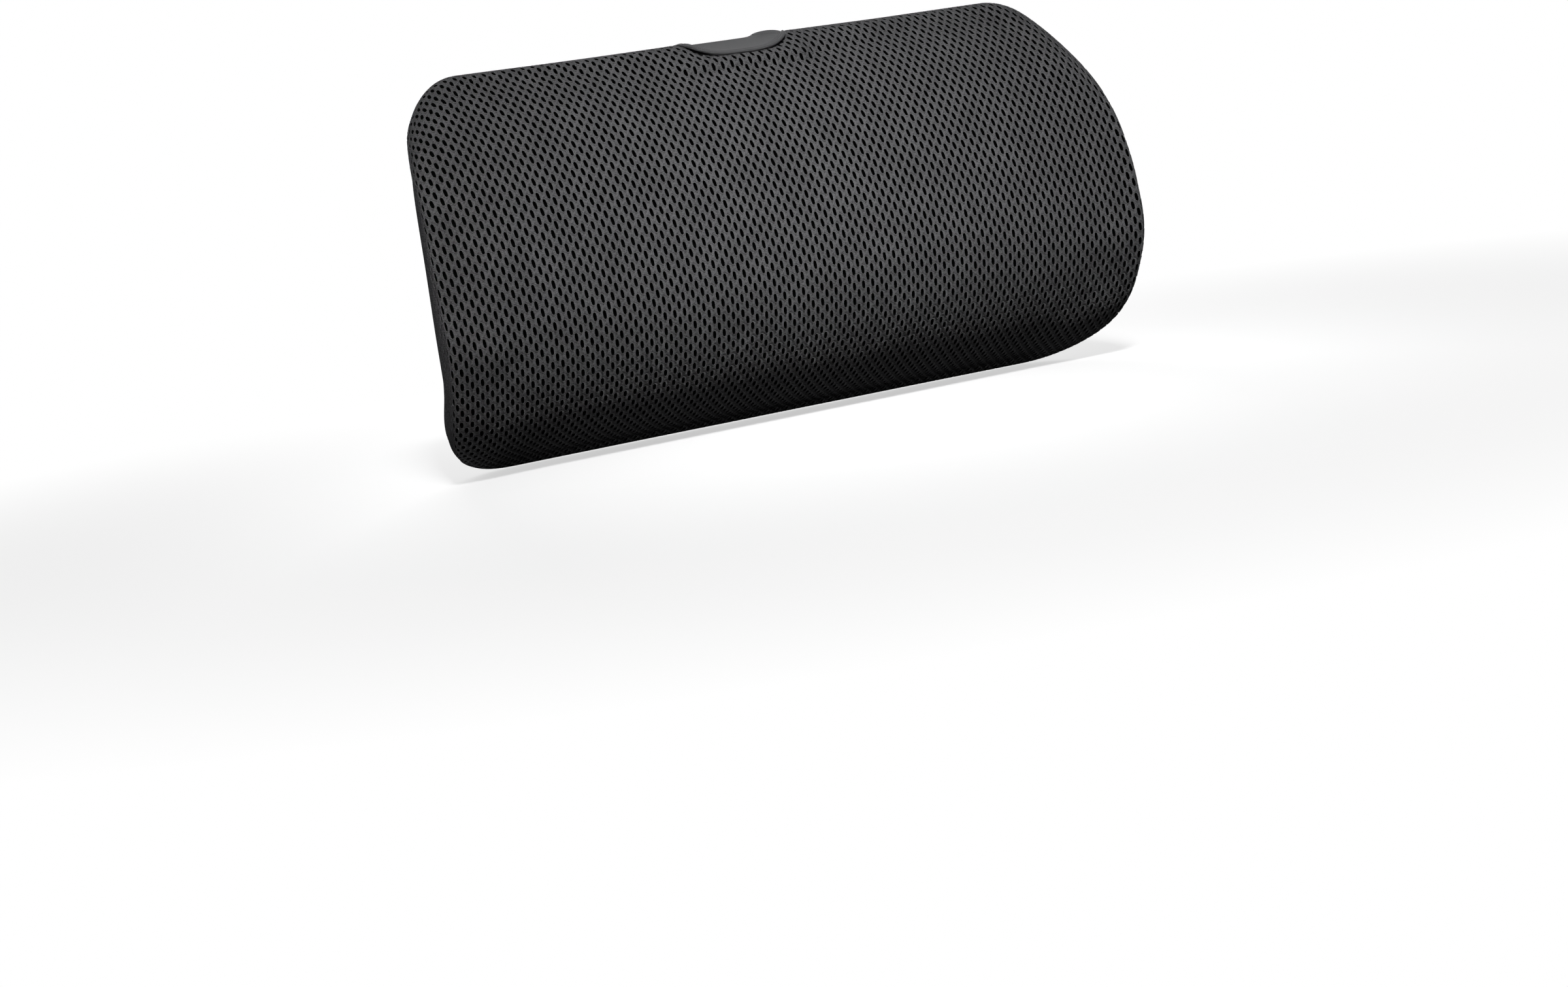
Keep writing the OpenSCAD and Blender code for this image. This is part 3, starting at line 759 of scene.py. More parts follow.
    def outline(self, inset: float, count: int) -> Array:
        """Evenly spaced points round the back, in X and Z, drawn in by an inset."""
        turns = np.radians(np.linspace(0, 90, 24))
        back_h = self.line[0, 1]
        corners = []
        for (w, h), base, up, square in (
            (self.top_corner, back_h, 1, self.squareness[0]),
            (self.bottom_corner, self.lower, -1, self.squareness[1]),
        ):
            x = self.half - w + (w - inset) * np.sin(turns) ** (2 / square)
            z = up * (base - h + (h - inset) * np.cos(turns) ** (2 / square))
            corners.append(np.stack([x, z], 1))
        side = np.linspace(corners[0][-1], corners[1][-1], 16)[1:-1]
        right = np.concatenate([corners[0], side, corners[1][::-1]])
        out = self.bulge(right[:, 0], np.clip(right[:, 1] / self.lower, -1, 1))
        x = self.drawn(right[:, 0], np.zeros(len(right)), right[:, 1], inset) + out
        right = np.stack([x, self.crown_z + right[:, 1]], 1)
        loop = np.concatenate([right, (right * (-1, 1))[::-1], right[:1]])
        return walk(loop, np.arange(count) / count)


@dataclass
class FilledCushion:
    """The cover's surface after filling: a grid of points that finer pieces are laid on.

    Attributes:
        form: the cover's cut shape.
        columns: steps across the cover and round its ends.
        rows: steps round the section.
        cap: how far filling may move a point.
        tuck: how far the cover's edge turns in behind the seam lip.
        frames: how long the filling is left to settle.
        pressure: how hard the filling pushes.
        evening: how often the swelling is evened out, which takes small creases away.
        held_steps: steps from the rim over which the cover gets free to swell.
        scoop_clear: how far round the scoop the cover is held.
    """

    form: CushionForm
    columns: int = 124
    rows: int = 70
    cap: float = 0.003
    tuck: float = 0.004
    frames: int = 16
    pressure: float = 5.0
    evening: int = 12
    held_steps: int = 5
    scoop_clear: float = 0.006

    def __post_init__(self) -> None:
        """Lays the grid and fills it."""
        s = np.linspace(-self.form.reach, self.form.reach, self.columns + 1)
        t = np.linspace(0, self.form.girth, self.rows + 1)
        self.step_s, self.step_t = s[1] - s[0], t[1] - t[0]
        ss, tt = np.meshgrid(s, t, indexing="ij")
        flat = self.form.surface(ss.ravel(), tt.ravel())
        self.grid = flat.reshape(self.columns + 1, self.rows + 1, 3)
        self.fill()
        self.turn_in()

    def free(self) -> Array:
        """Share by which each grid point may swell: none at the rim and in the scoop."""
        i = np.arange(self.columns + 1)[:, None]
        j = np.arange(self.rows + 1)[None, :]
        edge = np.minimum(np.minimum(i, self.columns - i), np.minimum(j, self.rows - j))
        free = np.clip(edge / self.held_steps, 0, 1)
        near = np.abs(self.grid[..., 0]) < self.form.scoop[0] / 2 + self.scoop_clear
        high = self.grid[..., 2] > self.form.crown_z + self.form.seam_z - self.scoop_clear
        return np.where(near & high, 0, free)

    def fill(self) -> None:
        """Swells the cover like a filled cushion: pressure on cloth that is held at its rim."""
        free = self.free()
        bm = bmesh.new()
        bmesh.ops.create_grid(bm, x_segments=self.columns, y_segments=self.rows, size=0.5)
        share = np.array([v.co[:2] for v in bm.verts]) + 0.5
        i = np.rint(share[:, 0] * self.columns).astype(int)
        j = np.rint(share[:, 1] * self.rows).astype(int)
        for vert, point in zip(bm.verts, self.grid[i, j]):
            vert.co = point
        data = bpy.data.meshes.new("filling")
        bm.to_mesh(data)
        bm.free()
        cloth = bpy.data.objects.new("filling", data)
        bpy.context.scene.collection.objects.link(cloth)
        held = cloth.vertex_groups.new(name="held")
        for k, share_free in enumerate(free[i, j]):
            held.add([k], float(1 - share_free), "REPLACE")
        modifier = cloth.modifiers.new("fill", "CLOTH")
        settings = modifier.settings
        settings.quality = 6
        settings.mass = 0.3
        settings.tension_stiffness = settings.compression_stiffness = 25
        settings.shear_stiffness = 15
        settings.bending_stiffness = 6
        settings.use_pressure = True
        settings.uniform_pressure_force = self.pressure
        settings.vertex_group_mass = "held"
        settings.effector_weights.gravity = 0
        modifier.collision_settings.use_collision = False
        scene = bpy.context.scene
        for number in range(1, self.frames + 1):
            scene.frame_set(number)
        graph = bpy.context.evaluated_depsgraph_get()
        swollen = cloth.evaluated_get(graph).to_mesh()
        points = np.empty(len(swollen.vertices) * 3)
        swollen.vertices.foreach_get("co", points)
        settled = np.empty_like(self.grid)
        settled[i, j] = points.reshape(-1, 3)
        scene.frame_set(1)
        bpy.data.objects.remove(cloth)
        move = self.evened(settled - self.grid) * free[..., None]
        size = np.linalg.norm(move, axis=2)[..., None]
        LOG.info("filling moved points by %.1f mm at most", size.max() / MM)
        self.grid = self.grid + move * np.minimum(1, self.cap / np.maximum(size, 1e-9))

    def evened(self, move: Array) -> Array:
        """The swelling, with each point's move shared with its neighbours."""
        for _ in range(self.evening):
            for axis in (0, 1):
                pad = [(1, 1) if k == axis else (0, 0) for k in range(3)]
                wide = np.pad(move, pad, mode="edge")
                count = move.shape[axis]
                before, here, after = (wide.take(range(k, k + count), axis) for k in range(3))
                move = (before + 2 * here + after) / 4
        return move

    def turn_in(self) -> None:
        """Adds one row on every side, where the cover's edge turns in behind the seam lip."""
        grid = np.pad(self.grid, ((1, 1), (1, 1), (0, 0)), mode="edge")
        edge = np.ones(grid.shape[:2], bool)
        edge[1:-1, 1:-1] = False
        inward = np.array([0, 0, self.form.crown_z]) - grid[edge]
        inward[:, 1] = 0
        inward /= np.linalg.norm(inward, axis=1)[:, None]
        grid[edge] += inward * self.tuck * 0.8 + np.array([0, self.tuck * 0.7, 0])
        self.grid = grid

    def place(self, s: Array, t: Array, lift: Array) -> Array:
        """Points on the filled cover.

        Args:
            s: distance from the middle, across the cover.
            t: distance round the section.
            lift: height above the cover's surface.

        Returns:
            One row per place.
        """
        point, across, along = self.spline(s, t)
        n = np.cross(along, across)
        n /= np.maximum(np.linalg.norm(n, axis=1)[:, None], 1e-12)
        return point + n * np.asarray(lift)[:, None]

    def spline(self, s: Array, t: Array) -> tuple[Array, Array, Array]:
        """Point and both slopes on the grid, by a cubic through its points."""
        fi = (s + self.form.reach) / self.step_s + 1
        fj = t / self.step_t + 1
        size = np.array(self.grid.shape[:2])
        i = np.clip(np.floor(fi).astype(int), 0, size[0] - 2)
        j = np.clip(np.floor(fj).astype(int), 0, size[1] - 2)
        wi, di = self.weights(fi - i)
        wj, dj = self.weights(fj - j)
        found = [np.zeros((len(s), 3)) for _ in range(3)]
        for a in range(4):
            for b in range(4):
                at = self.grid[np.clip(i + a - 1, 0, size[0] - 1), np.clip(j + b - 1, 0, size[1] - 1)]
                found[0] += (wi[a] * wj[b])[:, None] * at
                found[1] += (di[a] * wj[b] / self.step_s)[:, None] * at
                found[2] += (wi[a] * dj[b] / self.step_t)[:, None] * at
        return found[0], found[1], found[2]

    @staticmethod
    def weights(x: Array) -> tuple[list[Array], list[Array]]:
        """Weights of four neighbours for a point and for its slope."""
        w = [
            (-x + 2 * x**2 - x**3) / 2,
            (2 - 5 * x**2 + 3 * x**3) / 2,
            (x + 4 * x**2 - 3 * x**3) / 2,
            (x**3 - x**2) / 2,
        ]
        d = [
            (-1 + 4 * x - 3 * x**2) / 2,
            (-10 * x + 9 * x**2) / 2,
            (1 + 8 * x - 9 * x**2) / 2,
            (3 * x**2 - 2 * x) / 2,
        ]
        return w, d


@dataclass
class MeshCover:
    """The spacer mesh: rows of staggered oval holes over a back sheet that is painted near black as the shade
    inside the holes.

    Attributes:
        filled: the cushion that it lies on.
        pitch: distance between holes in one row, and between every second row.
        hole: half width and half height of a hole.
        lip: half width and half height of the rounded rim round it.
        lean: how far a hole leans aside, as a share of its height.
        slant: how far the cell's corners lie off the row line.
        crest: height of the knit between the holes.
        wall: depth of a hole.
        skew: rise of the rows across the width.
        backing_depth: depth of the backing under the cover's surface.
        fullness: how full a hole's slanted corners are, across and along.
        cell_levels: height of the cell's edge beside and between the holes, as shares of the crest.
        rim_levels: height of the rim and of the hole's edge, as shares of the crest.
        floor_share: size of a hole's floor, as a share of the hole.
        gathered: squeeze at which a hole is closed, and at which it is open.
        least_open: share of a closed hole that is left.
        least_crest: share of the crest that is left round a closed hole.
        rounds: place round the section, by column of the cushion's grid and by level.
        across: place across the cushion, by distance across the sheet and by level.
        half: half the flat sheet's width.
        first_level: distance along the sheet of the first level.
        level_step: distance between levels.
        across_step: distance between the second table's entries.
    """

    filled: FilledCushion
    pitch: Pair = (0.0058, 0.0089)
    hole: Pair = (0.00101, 0.00260)
    lip: Pair = (0.00138, 0.00290)
    lean: float = 0.10
    slant: float = 0.0008
    crest: float = 0.0005
    wall: float = 0.0022
    skew: float = -0.052
    backing_depth: float = 0.0026
    fullness: Pair = (1.12, 1.02)
    cell_levels: Pair = (0.75, -0.5)
    rim_levels: Pair = (1.1, 0.1)
    floor_share: float = 0.95
    gathered: Pair = (0.35, 0.8)
    least_open: float = 0.25
    least_crest: float = 0.3
    rounds: Array = field(init=False)
    across: Array = field(init=False)
    half: float = field(init=False)
    first_level: float = field(init=False)
    level_step: float = field(init=False)
    across_step: float = field(init=False)

    def __post_init__(self) -> None:
        """Measures the cushion that the sheet is laid on."""
        self.measure()

    def cell(self) -> BMesh:
        """One pair of holes with the knit round them, flat; the holes' walls take the second finish, painted near
        black as the shade inside the holes.
        """
        bm = bmesh.new()
        for shift in (Vector((0, 0, 0)), Vector((self.pitch[0] / 2, self.pitch[1] / 2, 0))):
            rings = [bmesh.ops.create_circle(bm, cap_ends=False, segments=8, radius=1.0)["verts"]]
            edges = list({e for v in rings[0] for e in v.link_edges})
            for _ in range(3):
                grown = bmesh.ops.extrude_edge_only(bm, edges=edges)["geom"]
                rings.append([v for v in grown if isinstance(v, bmesh.types.BMVert)])
                edges = [e for e in grown if isinstance(e, bmesh.types.BMEdge)]
            # Painted shade: the holes' walls wear the near-black finish, as the shade inside the holes.
            for face in {f for e in edges for f in e.link_faces}:
                face.material_index = 1
            for number, ring in enumerate(rings):
                for v in ring:
                    v.co = self.ring_point(v.co, number) + shift
        return bm

    def ring_point(self, unit: Vector, number: int) -> Vector:
        """Place of one vertex of a ring: 0 is the cell's edge, 1 the rim, 2 the hole's edge, 3 its floor."""
        half, quarter_row = self.pitch[0] / 2, self.pitch[1] / 4
        above, beside = abs(unit.x) < 0.1, abs(unit.y) < 0.1
        if number == 0:
            x = 0 if above else math.copysign(half, unit.x)
            reach = quarter_row + self.slant if above else quarter_row - self.slant
            y = 0 if beside else math.copysign(reach, unit.y)
            level = self.crest * self.cell_levels[0 if beside else 1]
            return Vector((x, y, level))
        size, level = {
            1: (self.lip, self.rim_levels[0] * self.crest),
            2: (self.hole, self.rim_levels[1] * self.crest),
            3: ((self.hole[0] * self.floor_share, self.hole[1] * self.floor_share), -self.wall),
        }[number]
        full = (1.0, 1.0) if above or beside else self.fullness
        y = unit.y * size[1] * full[1]
        return Vector((unit.x * size[0] * full[0] + self.lean * y, y, level))

    def flat_sheet(self) -> bpy.types.Mesh:
        """The whole mesh before it is laid on the cushion and trimmed."""
        width = 2 * self.half
        length = self.filled.form.girth + 2 * self.filled.step_t + 2 * width * abs(self.skew)
        bm = self.cell()
        data = bpy.data.meshes.new("cell")
        bm.to_mesh(data)
        bm.free()
        data.materials.append(Finishes.spacer_mesh.material())
        data.materials.append(Finishes.backing.material())
        cell = bpy.data.objects.new("cell", data)
        bpy.context.scene.collection.objects.link(cell)
        for axis, extent in enumerate((width, length)):
            array = cell.modifiers.new("row", "ARRAY")
            array.use_relative_offset = False
            array.use_constant_offset = True
            offset = [0.0, 0.0, 0.0]
            offset[axis] = self.pitch[axis]
            array.constant_offset_displace = offset
            array.count = math.ceil(extent / self.pitch[axis]) + 3
            array.use_merge_vertices = True
            array.merge_threshold = 2e-5
        graph = bpy.context.evaluated_depsgraph_get()
        sheet = bpy.data.meshes.new_from_object(cell.evaluated_get(graph))
        bpy.data.objects.remove(cell)
        sheet.transform(Matrix.Translation((*self.corner(), 0)))
        slope = Matrix.Identity(4)
        slope[1][0] = self.skew
        sheet.transform(slope)
        return sheet

    def corner(self) -> Pair:
        """Middle of the flat sheet's first hole, before its rows are skewed."""
        edge = -self.filled.step_t - self.half * abs(self.skew)
        return -self.half - self.pitch[0], edge - self.pitch[1]

    def trim(self, bm: BMesh) -> None:
        """Cuts the sheet to the cushion's girth and reach."""
        form = self.filled.form
        over_s, over_t = 0.98 * self.filled.step_s, 0.98 * self.filled.step_t
        cuts = (
            ((form.reach + over_s, 0, 0), (1, 0, 0)),
            ((-form.reach - over_s, 0, 0), (-1, 0, 0)),
            ((0, form.girth + over_t, 0), (0, 1, 0)),
            ((0, -over_t, 0), (0, -1, 0)),
        )
        for place, way in cuts:
            geom = bm.verts[:] + bm.edges[:] + bm.faces[:]
            bmesh.ops.bisect_plane(bm, geom=geom, dist=WELD, plane_co=place, plane_no=way, clear_outer=True)

    def measure(self) -> None:
        """Measures the filled cushion's columns and rows, so that the sheet is laid by true distance."""
        form, filled = self.filled.form, self.filled
        grid = filled.grid[1:-1, 1:-1]
        spare = form.girth
        t = np.concatenate([[-spare], np.linspace(0, form.girth, grid.shape[1]), [form.girth + spare]])
        crown = float(np.interp(0, -form.line[:, 1], form.run))
        levels = np.linspace(-form.girth, form.girth, LEVELS)
        rounds = []
        for row in np.linalg.norm(np.diff(grid, axis=1), axis=2):
            run = np.concatenate([[-spare, 0], np.cumsum(row), [row.sum() + spare]])
            rounds.append(np.interp(levels, run - np.interp(crown, t, run), t))
        self.rounds = np.array(rounds)
        self.first_level = crown + levels[0]
        self.level_step = levels[1] - levels[0]
        s = np.linspace(-form.reach, form.reach, len(rounds))
        places = filled.spline(np.repeat(s, LEVELS), np.clip(self.rounds, 0, form.girth).ravel())[0]
        steps = np.linalg.norm(np.diff(places.reshape(len(s), LEVELS, 3), axis=0), axis=2)
        run = np.concatenate([np.zeros((1, LEVELS)), np.cumsum(steps, axis=0)])
        middle = (len(s) - 1) // 2
        run -= (run[middle] + run[len(s) - 1 - middle]) / 2
        self.half = float(max(run[-1].max(), -run[0].min())) + filled.step_s
        u = np.linspace(-self.half - spare, self.half + spare, 4 * LEVELS)
        known = np.concatenate([[s[0] - spare], s, [s[-1] + spare]])
        across = [np.interp(u, np.concatenate([[r[0] - spare], r, [r[-1] + spare]]), known) for r in run.T]
        self.across = np.array(across).T
        self.across_step = u[1] - u[0]

    @staticmethod
    def look_up(table: Array, x: Array, y: Array) -> Array:
        """Reads a table between its entries, at fractional places."""
        x, y = (np.clip(p, 0, n - 1.001) for p, n in zip((x, y), table.shape))
        i, j = x.astype(int), y.astype(int)
        a, b = x - i, y - j
        near = table[i, j] * (1 - b) + table[i, j + 1] * b
        return near * (1 - a) + (table[i + 1, j] * (1 - b) + table[i + 1, j + 1] * b) * a

    def sheet_places(self, u: Array, v: Array) -> tuple[Array, Array]:
        """Where on the cushion's grid a point of the flat sheet lies.

        Args:
            u: distance across the flat sheet from its middle.
            v: distance along the flat sheet.

        Returns:
            Distances across and round the section that the cushion's grid is drawn by.
        """
        form, filled = self.filled.form, self.filled
        level = (v - self.first_level) / self.level_step
        s = self.look_up(self.across, (u + self.half + form.girth) / self.across_step, level)
        return s, self.look_up(self.rounds, (s + form.reach) / filled.step_s, level)

    def build(self) -> BMesh:
        """The mesh, laid on the cushion."""
        sheet = self.flat_sheet()
        bm = bmesh.new()
        bm.from_mesh(sheet)
        bpy.data.meshes.remove(sheet)
        flat = np.array([v.co for v in bm.verts])
        flat = self.close_gathers(flat)
        bake = bm.loops.layers.uv.new(BAKE_MAP)
        weave = bm.loops.layers.uv.new(WEAVE_MAP)
        bm.verts.index_update()
        weave_places = flat[:, :2] / MM
        for face in bm.faces:
            for loop in face.loops:
                loop[weave].uv = weave_places[loop.vert.index]
        # This relief layer also sets the painted shade in the mesh's low places.
        height = bm.verts.layers.float.new(RELIEF)
        flat[:, 0], flat[:, 1] = self.sheet_places(flat[:, 0], flat[:, 1])
        for vert, point in zip(bm.verts, flat):
            vert.co = point
            vert[height] = point[2] / self.crest
        self.trim(bm)
        kept = np.array([loop[weave].uv for face in bm.faces for loop in face.loops])
        low, span = kept.min(axis=0), np.ptp(kept, axis=0) / (1, MESH_BAKE_H)
        for face in bm.faces:
            for loop in face.loops:
                loop[bake].uv = (np.array(loop[weave].uv) - low) / span
        flat = np.array([v.co for v in bm.verts])
        laid = self.filled.place(flat[:, 0], flat[:, 1], flat[:, 2])
        for vert, point in zip(bm.verts, laid):
            vert.co = point
        return bm

    def close_gathers(self, flat: Array) -> Array:
        """Draws the holes together where the cover is gathered at its corners."""
        px, pz = self.pitch[0], self.pitch[1] / 2
        origin = np.array(self.corner())
        level = flat[:, :2] - np.stack([0 * flat[:, 0], self.skew * flat[:, 0]], 1)
        row = np.rint((level[:, 1] - origin[1]) / pz)
        odd = np.mod(row, 2)
        column = np.rint((level[:, 0] - origin[0] - odd * px / 2) / px)
        centre = np.stack([column * px + odd * px / 2, row * pz], 1) + origin
        centre[:, 1] += self.skew * centre[:, 0]
        near = (centre, centre + (MM, 0), centre + (0, MM))
        here, beside, above = [self.filled.spline(*self.sheet_places(p[:, 0], p[:, 1]))[0] for p in near]
        tight = np.linalg.norm(np.cross(beside - here, above - here), axis=1) / MM**2
        open_share = self.least_open + (1 - self.least_open) * smooth_step(tight, *self.gathered)
        off = flat[:, :2] - centre
        inner = (np.abs(off[:, 0]) < 0.9 * px / 2) & (np.hypot(off[:, 0] / px * 2, off[:, 1] / pz * 2) < 1.2)
        scale = np.where(inner, open_share, 1.0)
        made = flat.copy()
        made[:, 0] = centre[:, 0] + off[:, 0] * scale
        made[:, 2] = flat[:, 2] * np.where(inner, open_share, np.clip(open_share, self.least_crest, 1))
        return made

    def dress(self) -> bpy.types.Object:
        """The finished cover with its backing, painted near black as the shade inside the holes."""
        bm = self.build()
        filled, form = self.filled, self.filled.form

        def place(u: Array, v: Array) -> Array:
            """Points of the backing."""
            depth = np.full(len(u), -self.backing_depth)
            return filled.place((2 * u - 1) * form.reach, v * form.girth, depth)

        backing = patch(filled.columns, filled.rows, place, (2 * form.reach, form.girth))
        bake = backing.loops.layers.uv[BAKE_MAP]
        # Painted shade: the back sheet wears the near-black finish and is seen only as the shade in the holes.
        for face in backing.faces:
            face.material_index = 1
            for loop in face.loops:
                loop[bake].uv = (loop[bake].uv.x, BACKING_BAKE[0] + BACKING_BAKE[1] * loop[bake].uv.y)
        join(bm, backing)
        made = Piece("mesh_cover", bm, Finishes.spacer_mesh).dress()
        made.data.materials.append(Finishes.backing.material())
        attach(made, "cushion")
        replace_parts(made, "front_cover")
        return made


@dataclass
class Filling:
    """What lies under the cover: wadding round a foam block.

    Attributes:
        filled: the cushion that holds it.
        wadding_depth: depth of the wadding under the cover.
        foam_depth: depth of the foam under the cover.
        clear: share of the cover that it lies under, short of the rim.
        drawn: its width, as a share of the cover's.
    """

    filled: FilledCushion
    wadding_depth: float = 0.0055
    foam_depth: float = 0.0105
    clear: float = 0.97
    drawn: float = 0.94

    def layer(self, depth: float) -> BMesh:
        """A closed body at some depth under the cover."""
        filled, form = self.filled, self.filled.form
        columns, rows = filled.columns // 2, filled.rows // 2

        def place(u: Array, v: Array) -> Array:
            """Points under the cover, kept clear of its rim."""
            s = (2 * u - 1) * form.reach * self.clear
            t = form.girth * (0.5 + (v - 0.5) * self.clear)
            return filled.place(s, t, np.full(len(u), -depth)) * (self.drawn, 1, 1)

        bm = patch(columns, rows, place, (2 * form.reach, form.girth))
        close_ends(bm)
        return bm

    def dress(self) -> None:
        """The finished wadding and foam."""
        for name, depth, finish, node in (
            ("wadding_layer", self.wadding_depth, Finishes.wadding, "wadding_wrap"),
            ("foam_block", self.foam_depth, Finishes.foam, "foam_core"),
        ):
            made = Piece(name, self.layer(depth), finish).dress()
            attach(made, "cushion")
            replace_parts(made, node)


@dataclass
class SeamLip:
    """The rolled lip round the back edge.

    Attributes:
        form: the cushion that it runs round.
        radius: radius of the roll.
        steps: steps round the back.
        sides: facets of the roll.
        wave: how far it wanders off its line.
        beats: two rates of that wander, in radians a step.
    """

    form: CushionForm
    radius: float = 0.0026
    steps: int = 300
    sides: int = 14
    wave: float = 0.0003
    beats: Pair = (0.53, 0.171)

    def dress(self) -> bpy.types.Object:
        """The finished lip."""
        line = self.form.outline(self.radius, self.steps)
        k = np.arange(self.steps)
        wave = self.wave * np.sin(k * self.beats[0]) * np.sin(k * self.beats[1] + 1)
        path = np.stack([line[:, 0], np.full(self.steps, -self.radius) + wave, line[:, 1]], 1)
        bm = tube(path, lambda v: np.full(len(v), self.radius), self.sides, True)
        made = Piece("seam_lip_roll", bm, Finishes.seam_lip).dress()
        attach(made, "cushion")
        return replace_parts(made, "edge_welt")


@dataclass
class Elastic:
    """The ribbed strap: from the scoop over the backrest, down and round the rail, and its flap.

    Attributes:
        form: the cushion that it is sewn to.
        width: width of the elastic.
        seam_width: width at the scoop's seam, where it is spread.
        thick: thickness between the ribs' roots.
        rib: height of a rib.
        ribs: how many ribs there are.
        bend_r: radius of the bend over the backrest.
        curl: how far the left and right edges curl up near the seam.
        binding_r: how far behind the scoop's seam the elastic starts.
        split: angle on the rail at which the band ends and the flap starts.
        wrap: angle on the rail at which the flap leaves it.
        rail_gap: from the rail to the middle of the elastic.
        rest_gap: clearance over the cover.
        flat_share: share of the width that has ribs, short of the rounded edges.
        settle: share of the root at which its width has settled and it turns to the hinge.
        folds: half lengths over which the strap and the flap bend at their hinges; not used.
        rows: steps along the strap and the flap.
    """

    form: CushionForm
    width: float = 0.052
    seam_width: float = 0.061
    thick: float = 0.0014
    rib: float = 0.00022
    ribs: int = 36
    bend_r: float = 0.010
    curl: Pair = (0.0026, 0.0036)
    binding_r: float = 0.0012
    split: float = 300.0
    wrap: float = 50.0
    rail_gap: float = 0.0009
    rest_gap: float = 0.0002
    flat_share: float = 0.985
    settle: float = 0.8
    folds: Pair = (0.011, 0.008)
    rows: tuple[int, int] = (110, 60)

    def __post_init__(self) -> None:
        """Reads the hinge, the rail and the flap's reach from the frame."""
        rail = mount_of("rail_loop")
        self.rail_y, self.rail_z = rail["pos_m"][1], rail["pos_m"][2]
        self.loop_r = rail["dims"]["r_mm"] * MM + self.rail_gap
        self.hinge = joint_at("strap_swing")
        self.peel = joint_at("flap_peel")
        self.band_y = self.rail_y - self.loop_r
        self.flap_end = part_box("strap_flap")[1].z
        tab_low, tab_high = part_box("flap_tab")
        self.flat_y = tab_low.y + (tab_high.y - tab_low.y) / 2

    def seam_depth(self, x: Array) -> Array:
        """Depth of the scoop's seam at width x."""
        z = self.form.upper - np.maximum(self.form.scoop[1] * self.form.channel(x), 1e-5)
        return self.form.deep(self.form.shoulder_depth(z))

    def band_line(self) -> Array:
        """The band behind the cushion, in Y and Z, from the hinge to the split on the rail."""
        y, z = self.hinge.y, self.hinge.z
        bend = (self.band_y - self.bend_r, z - self.bend_r)
        return np.concatenate(
            [
                [[y, z]],
                arc(bend, self.bend_r, 90, 0, 10),
                arc((self.rail_y, self.rail_z), self.loop_r, 180, self.split, 16),
            ]
        )

    def flap_line(self) -> Array:
        """The flap, in Y and Z, from the split round the rail and up behind the band."""
        on_rail = arc((self.rail_y, self.rail_z), self.loop_r, self.split, 360 + self.wrap, 18)
        a = math.radians(self.wrap)
        run = (on_rail[-1, 0] - self.flat_y) / math.sin(a)
        knee = on_rail[-1] + run * np.array([-math.sin(a), math.cos(a)])
        return np.concatenate([on_rail, [knee], [[self.flat_y, self.flap_end]]])

    def section(self, u: Array) -> tuple[Array, Array]:
        """The elastic's cross section.

        Args:
            u: shares round it: the upper face, then the lower face back.

        Returns:
            Place across the width from -1 to 1, and height off its middle.
        """
        across, face = round_strip(u)
        beat = 0.5 + 0.5 * np.cos(across * self.ribs * math.pi)
        edge = quarter(np.abs(across) - self.flat_share, 1 - self.flat_share)
        rounding = np.where(np.abs(across) > self.flat_share, edge, 1)
        return across, face * (self.thick / 2 + self.rib * beat**0.7) * rounding

    def sheet(self, middle: Callable, rows: int, length: float) -> BMesh:
        """Carries the cross section along a rule.

        Args:
            middle: takes place across and share along; gives point, and the way off the face.
            rows: steps along the elastic.
            length: its real length.

        Returns:
            The closed strip.
        """

        def place(u: Array, v: Array) -> Array:
            """Points round the elastic."""
            across, height = self.section(u)
            point, off = middle(across, v)
            return point + off * height[:, None]

        bm = patch(self.ribs * 8, rows, place, (2 * self.width, length), WELD)
        close_ends(bm)
        return bm

    def over(self, across: Array, v: Array) -> tuple[Array, Array]:
        """The root in the scoop, and the band behind it, as one strip."""
        line = self.band_line()
        root_l, band_l = self.form.seam_f + self.hinge.y, along_line(line)[-1]
        part = root_l / (root_l + band_l)
        k = np.clip(v / part, 0, 1)
        spread = self.seam_width + (self.width - self.seam_width) * smooth_step(k, 0, self.settle)
        x = across * np.where(v < part, spread, self.width) / 2
        start = self.seam_depth(x) - self.binding_r
        f = start + (-self.hinge.y - start) * k
        lift = np.clip(self.form.strap_line(np.clip(f, 0, None)), None, self.form.upper)
        trough = np.clip(self.form.upper - lift, 0, None) * (1 - self.form.channel(x))
        bow = np.where(across < 0, *self.curl) * np.sin(math.pi * k) * across**12
        z = self.form.crown_z + lift + trough + bow + self.thick / 2 + self.rest_gap
        z = z + (self.hinge.z - z) * smooth_step(k, self.settle, 1.0)
        root = np.stack([x, -f, z], 1)
        at, out = line_frame(line, np.clip((v - part) / (1 - part), 0, 1), 0.004)
        band = np.stack([x, at[:, 0], at[:, 1]], 1)
        on_root = (v < part)[:, None]
        up = np.tile((0.0, 0.0, 1.0), (len(x), 1))
        off = np.stack([0 * x, out[:, 0], out[:, 1]], 1)
        return np.where(on_root, root, band), np.where(on_root, up, off)

    def round_rail(self, across: Array, v: Array) -> tuple[Array, Array]:
        """The flap, as a strip."""
        at, out = line_frame(self.flap_line(), v, 0.004)
        x = across * self.width / 2
        return np.stack([x, at[:, 0], at[:, 1]], 1), np.stack([0 * x, out[:, 0], out[:, 1]], 1)

    def dress(self) -> None:
        """The finished strap and flap."""
        length = self.form.seam_f + along_line(self.band_line())[-1]
        strap = Piece("elastic_strap", self.sheet(self.over, self.rows[0], length), Finishes.elastic).dress()
        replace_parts(strap, "strap_root", "strap_band")
        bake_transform(strap)
        flap_l = along_line(self.flap_line())[-1]
        bm = self.sheet(self.round_rail, self.rows[1], flap_l)
        flap = Piece("elastic_flap", bm, Finishes.elastic).dress()
        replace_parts(flap, "strap_flap")
        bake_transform(flap)


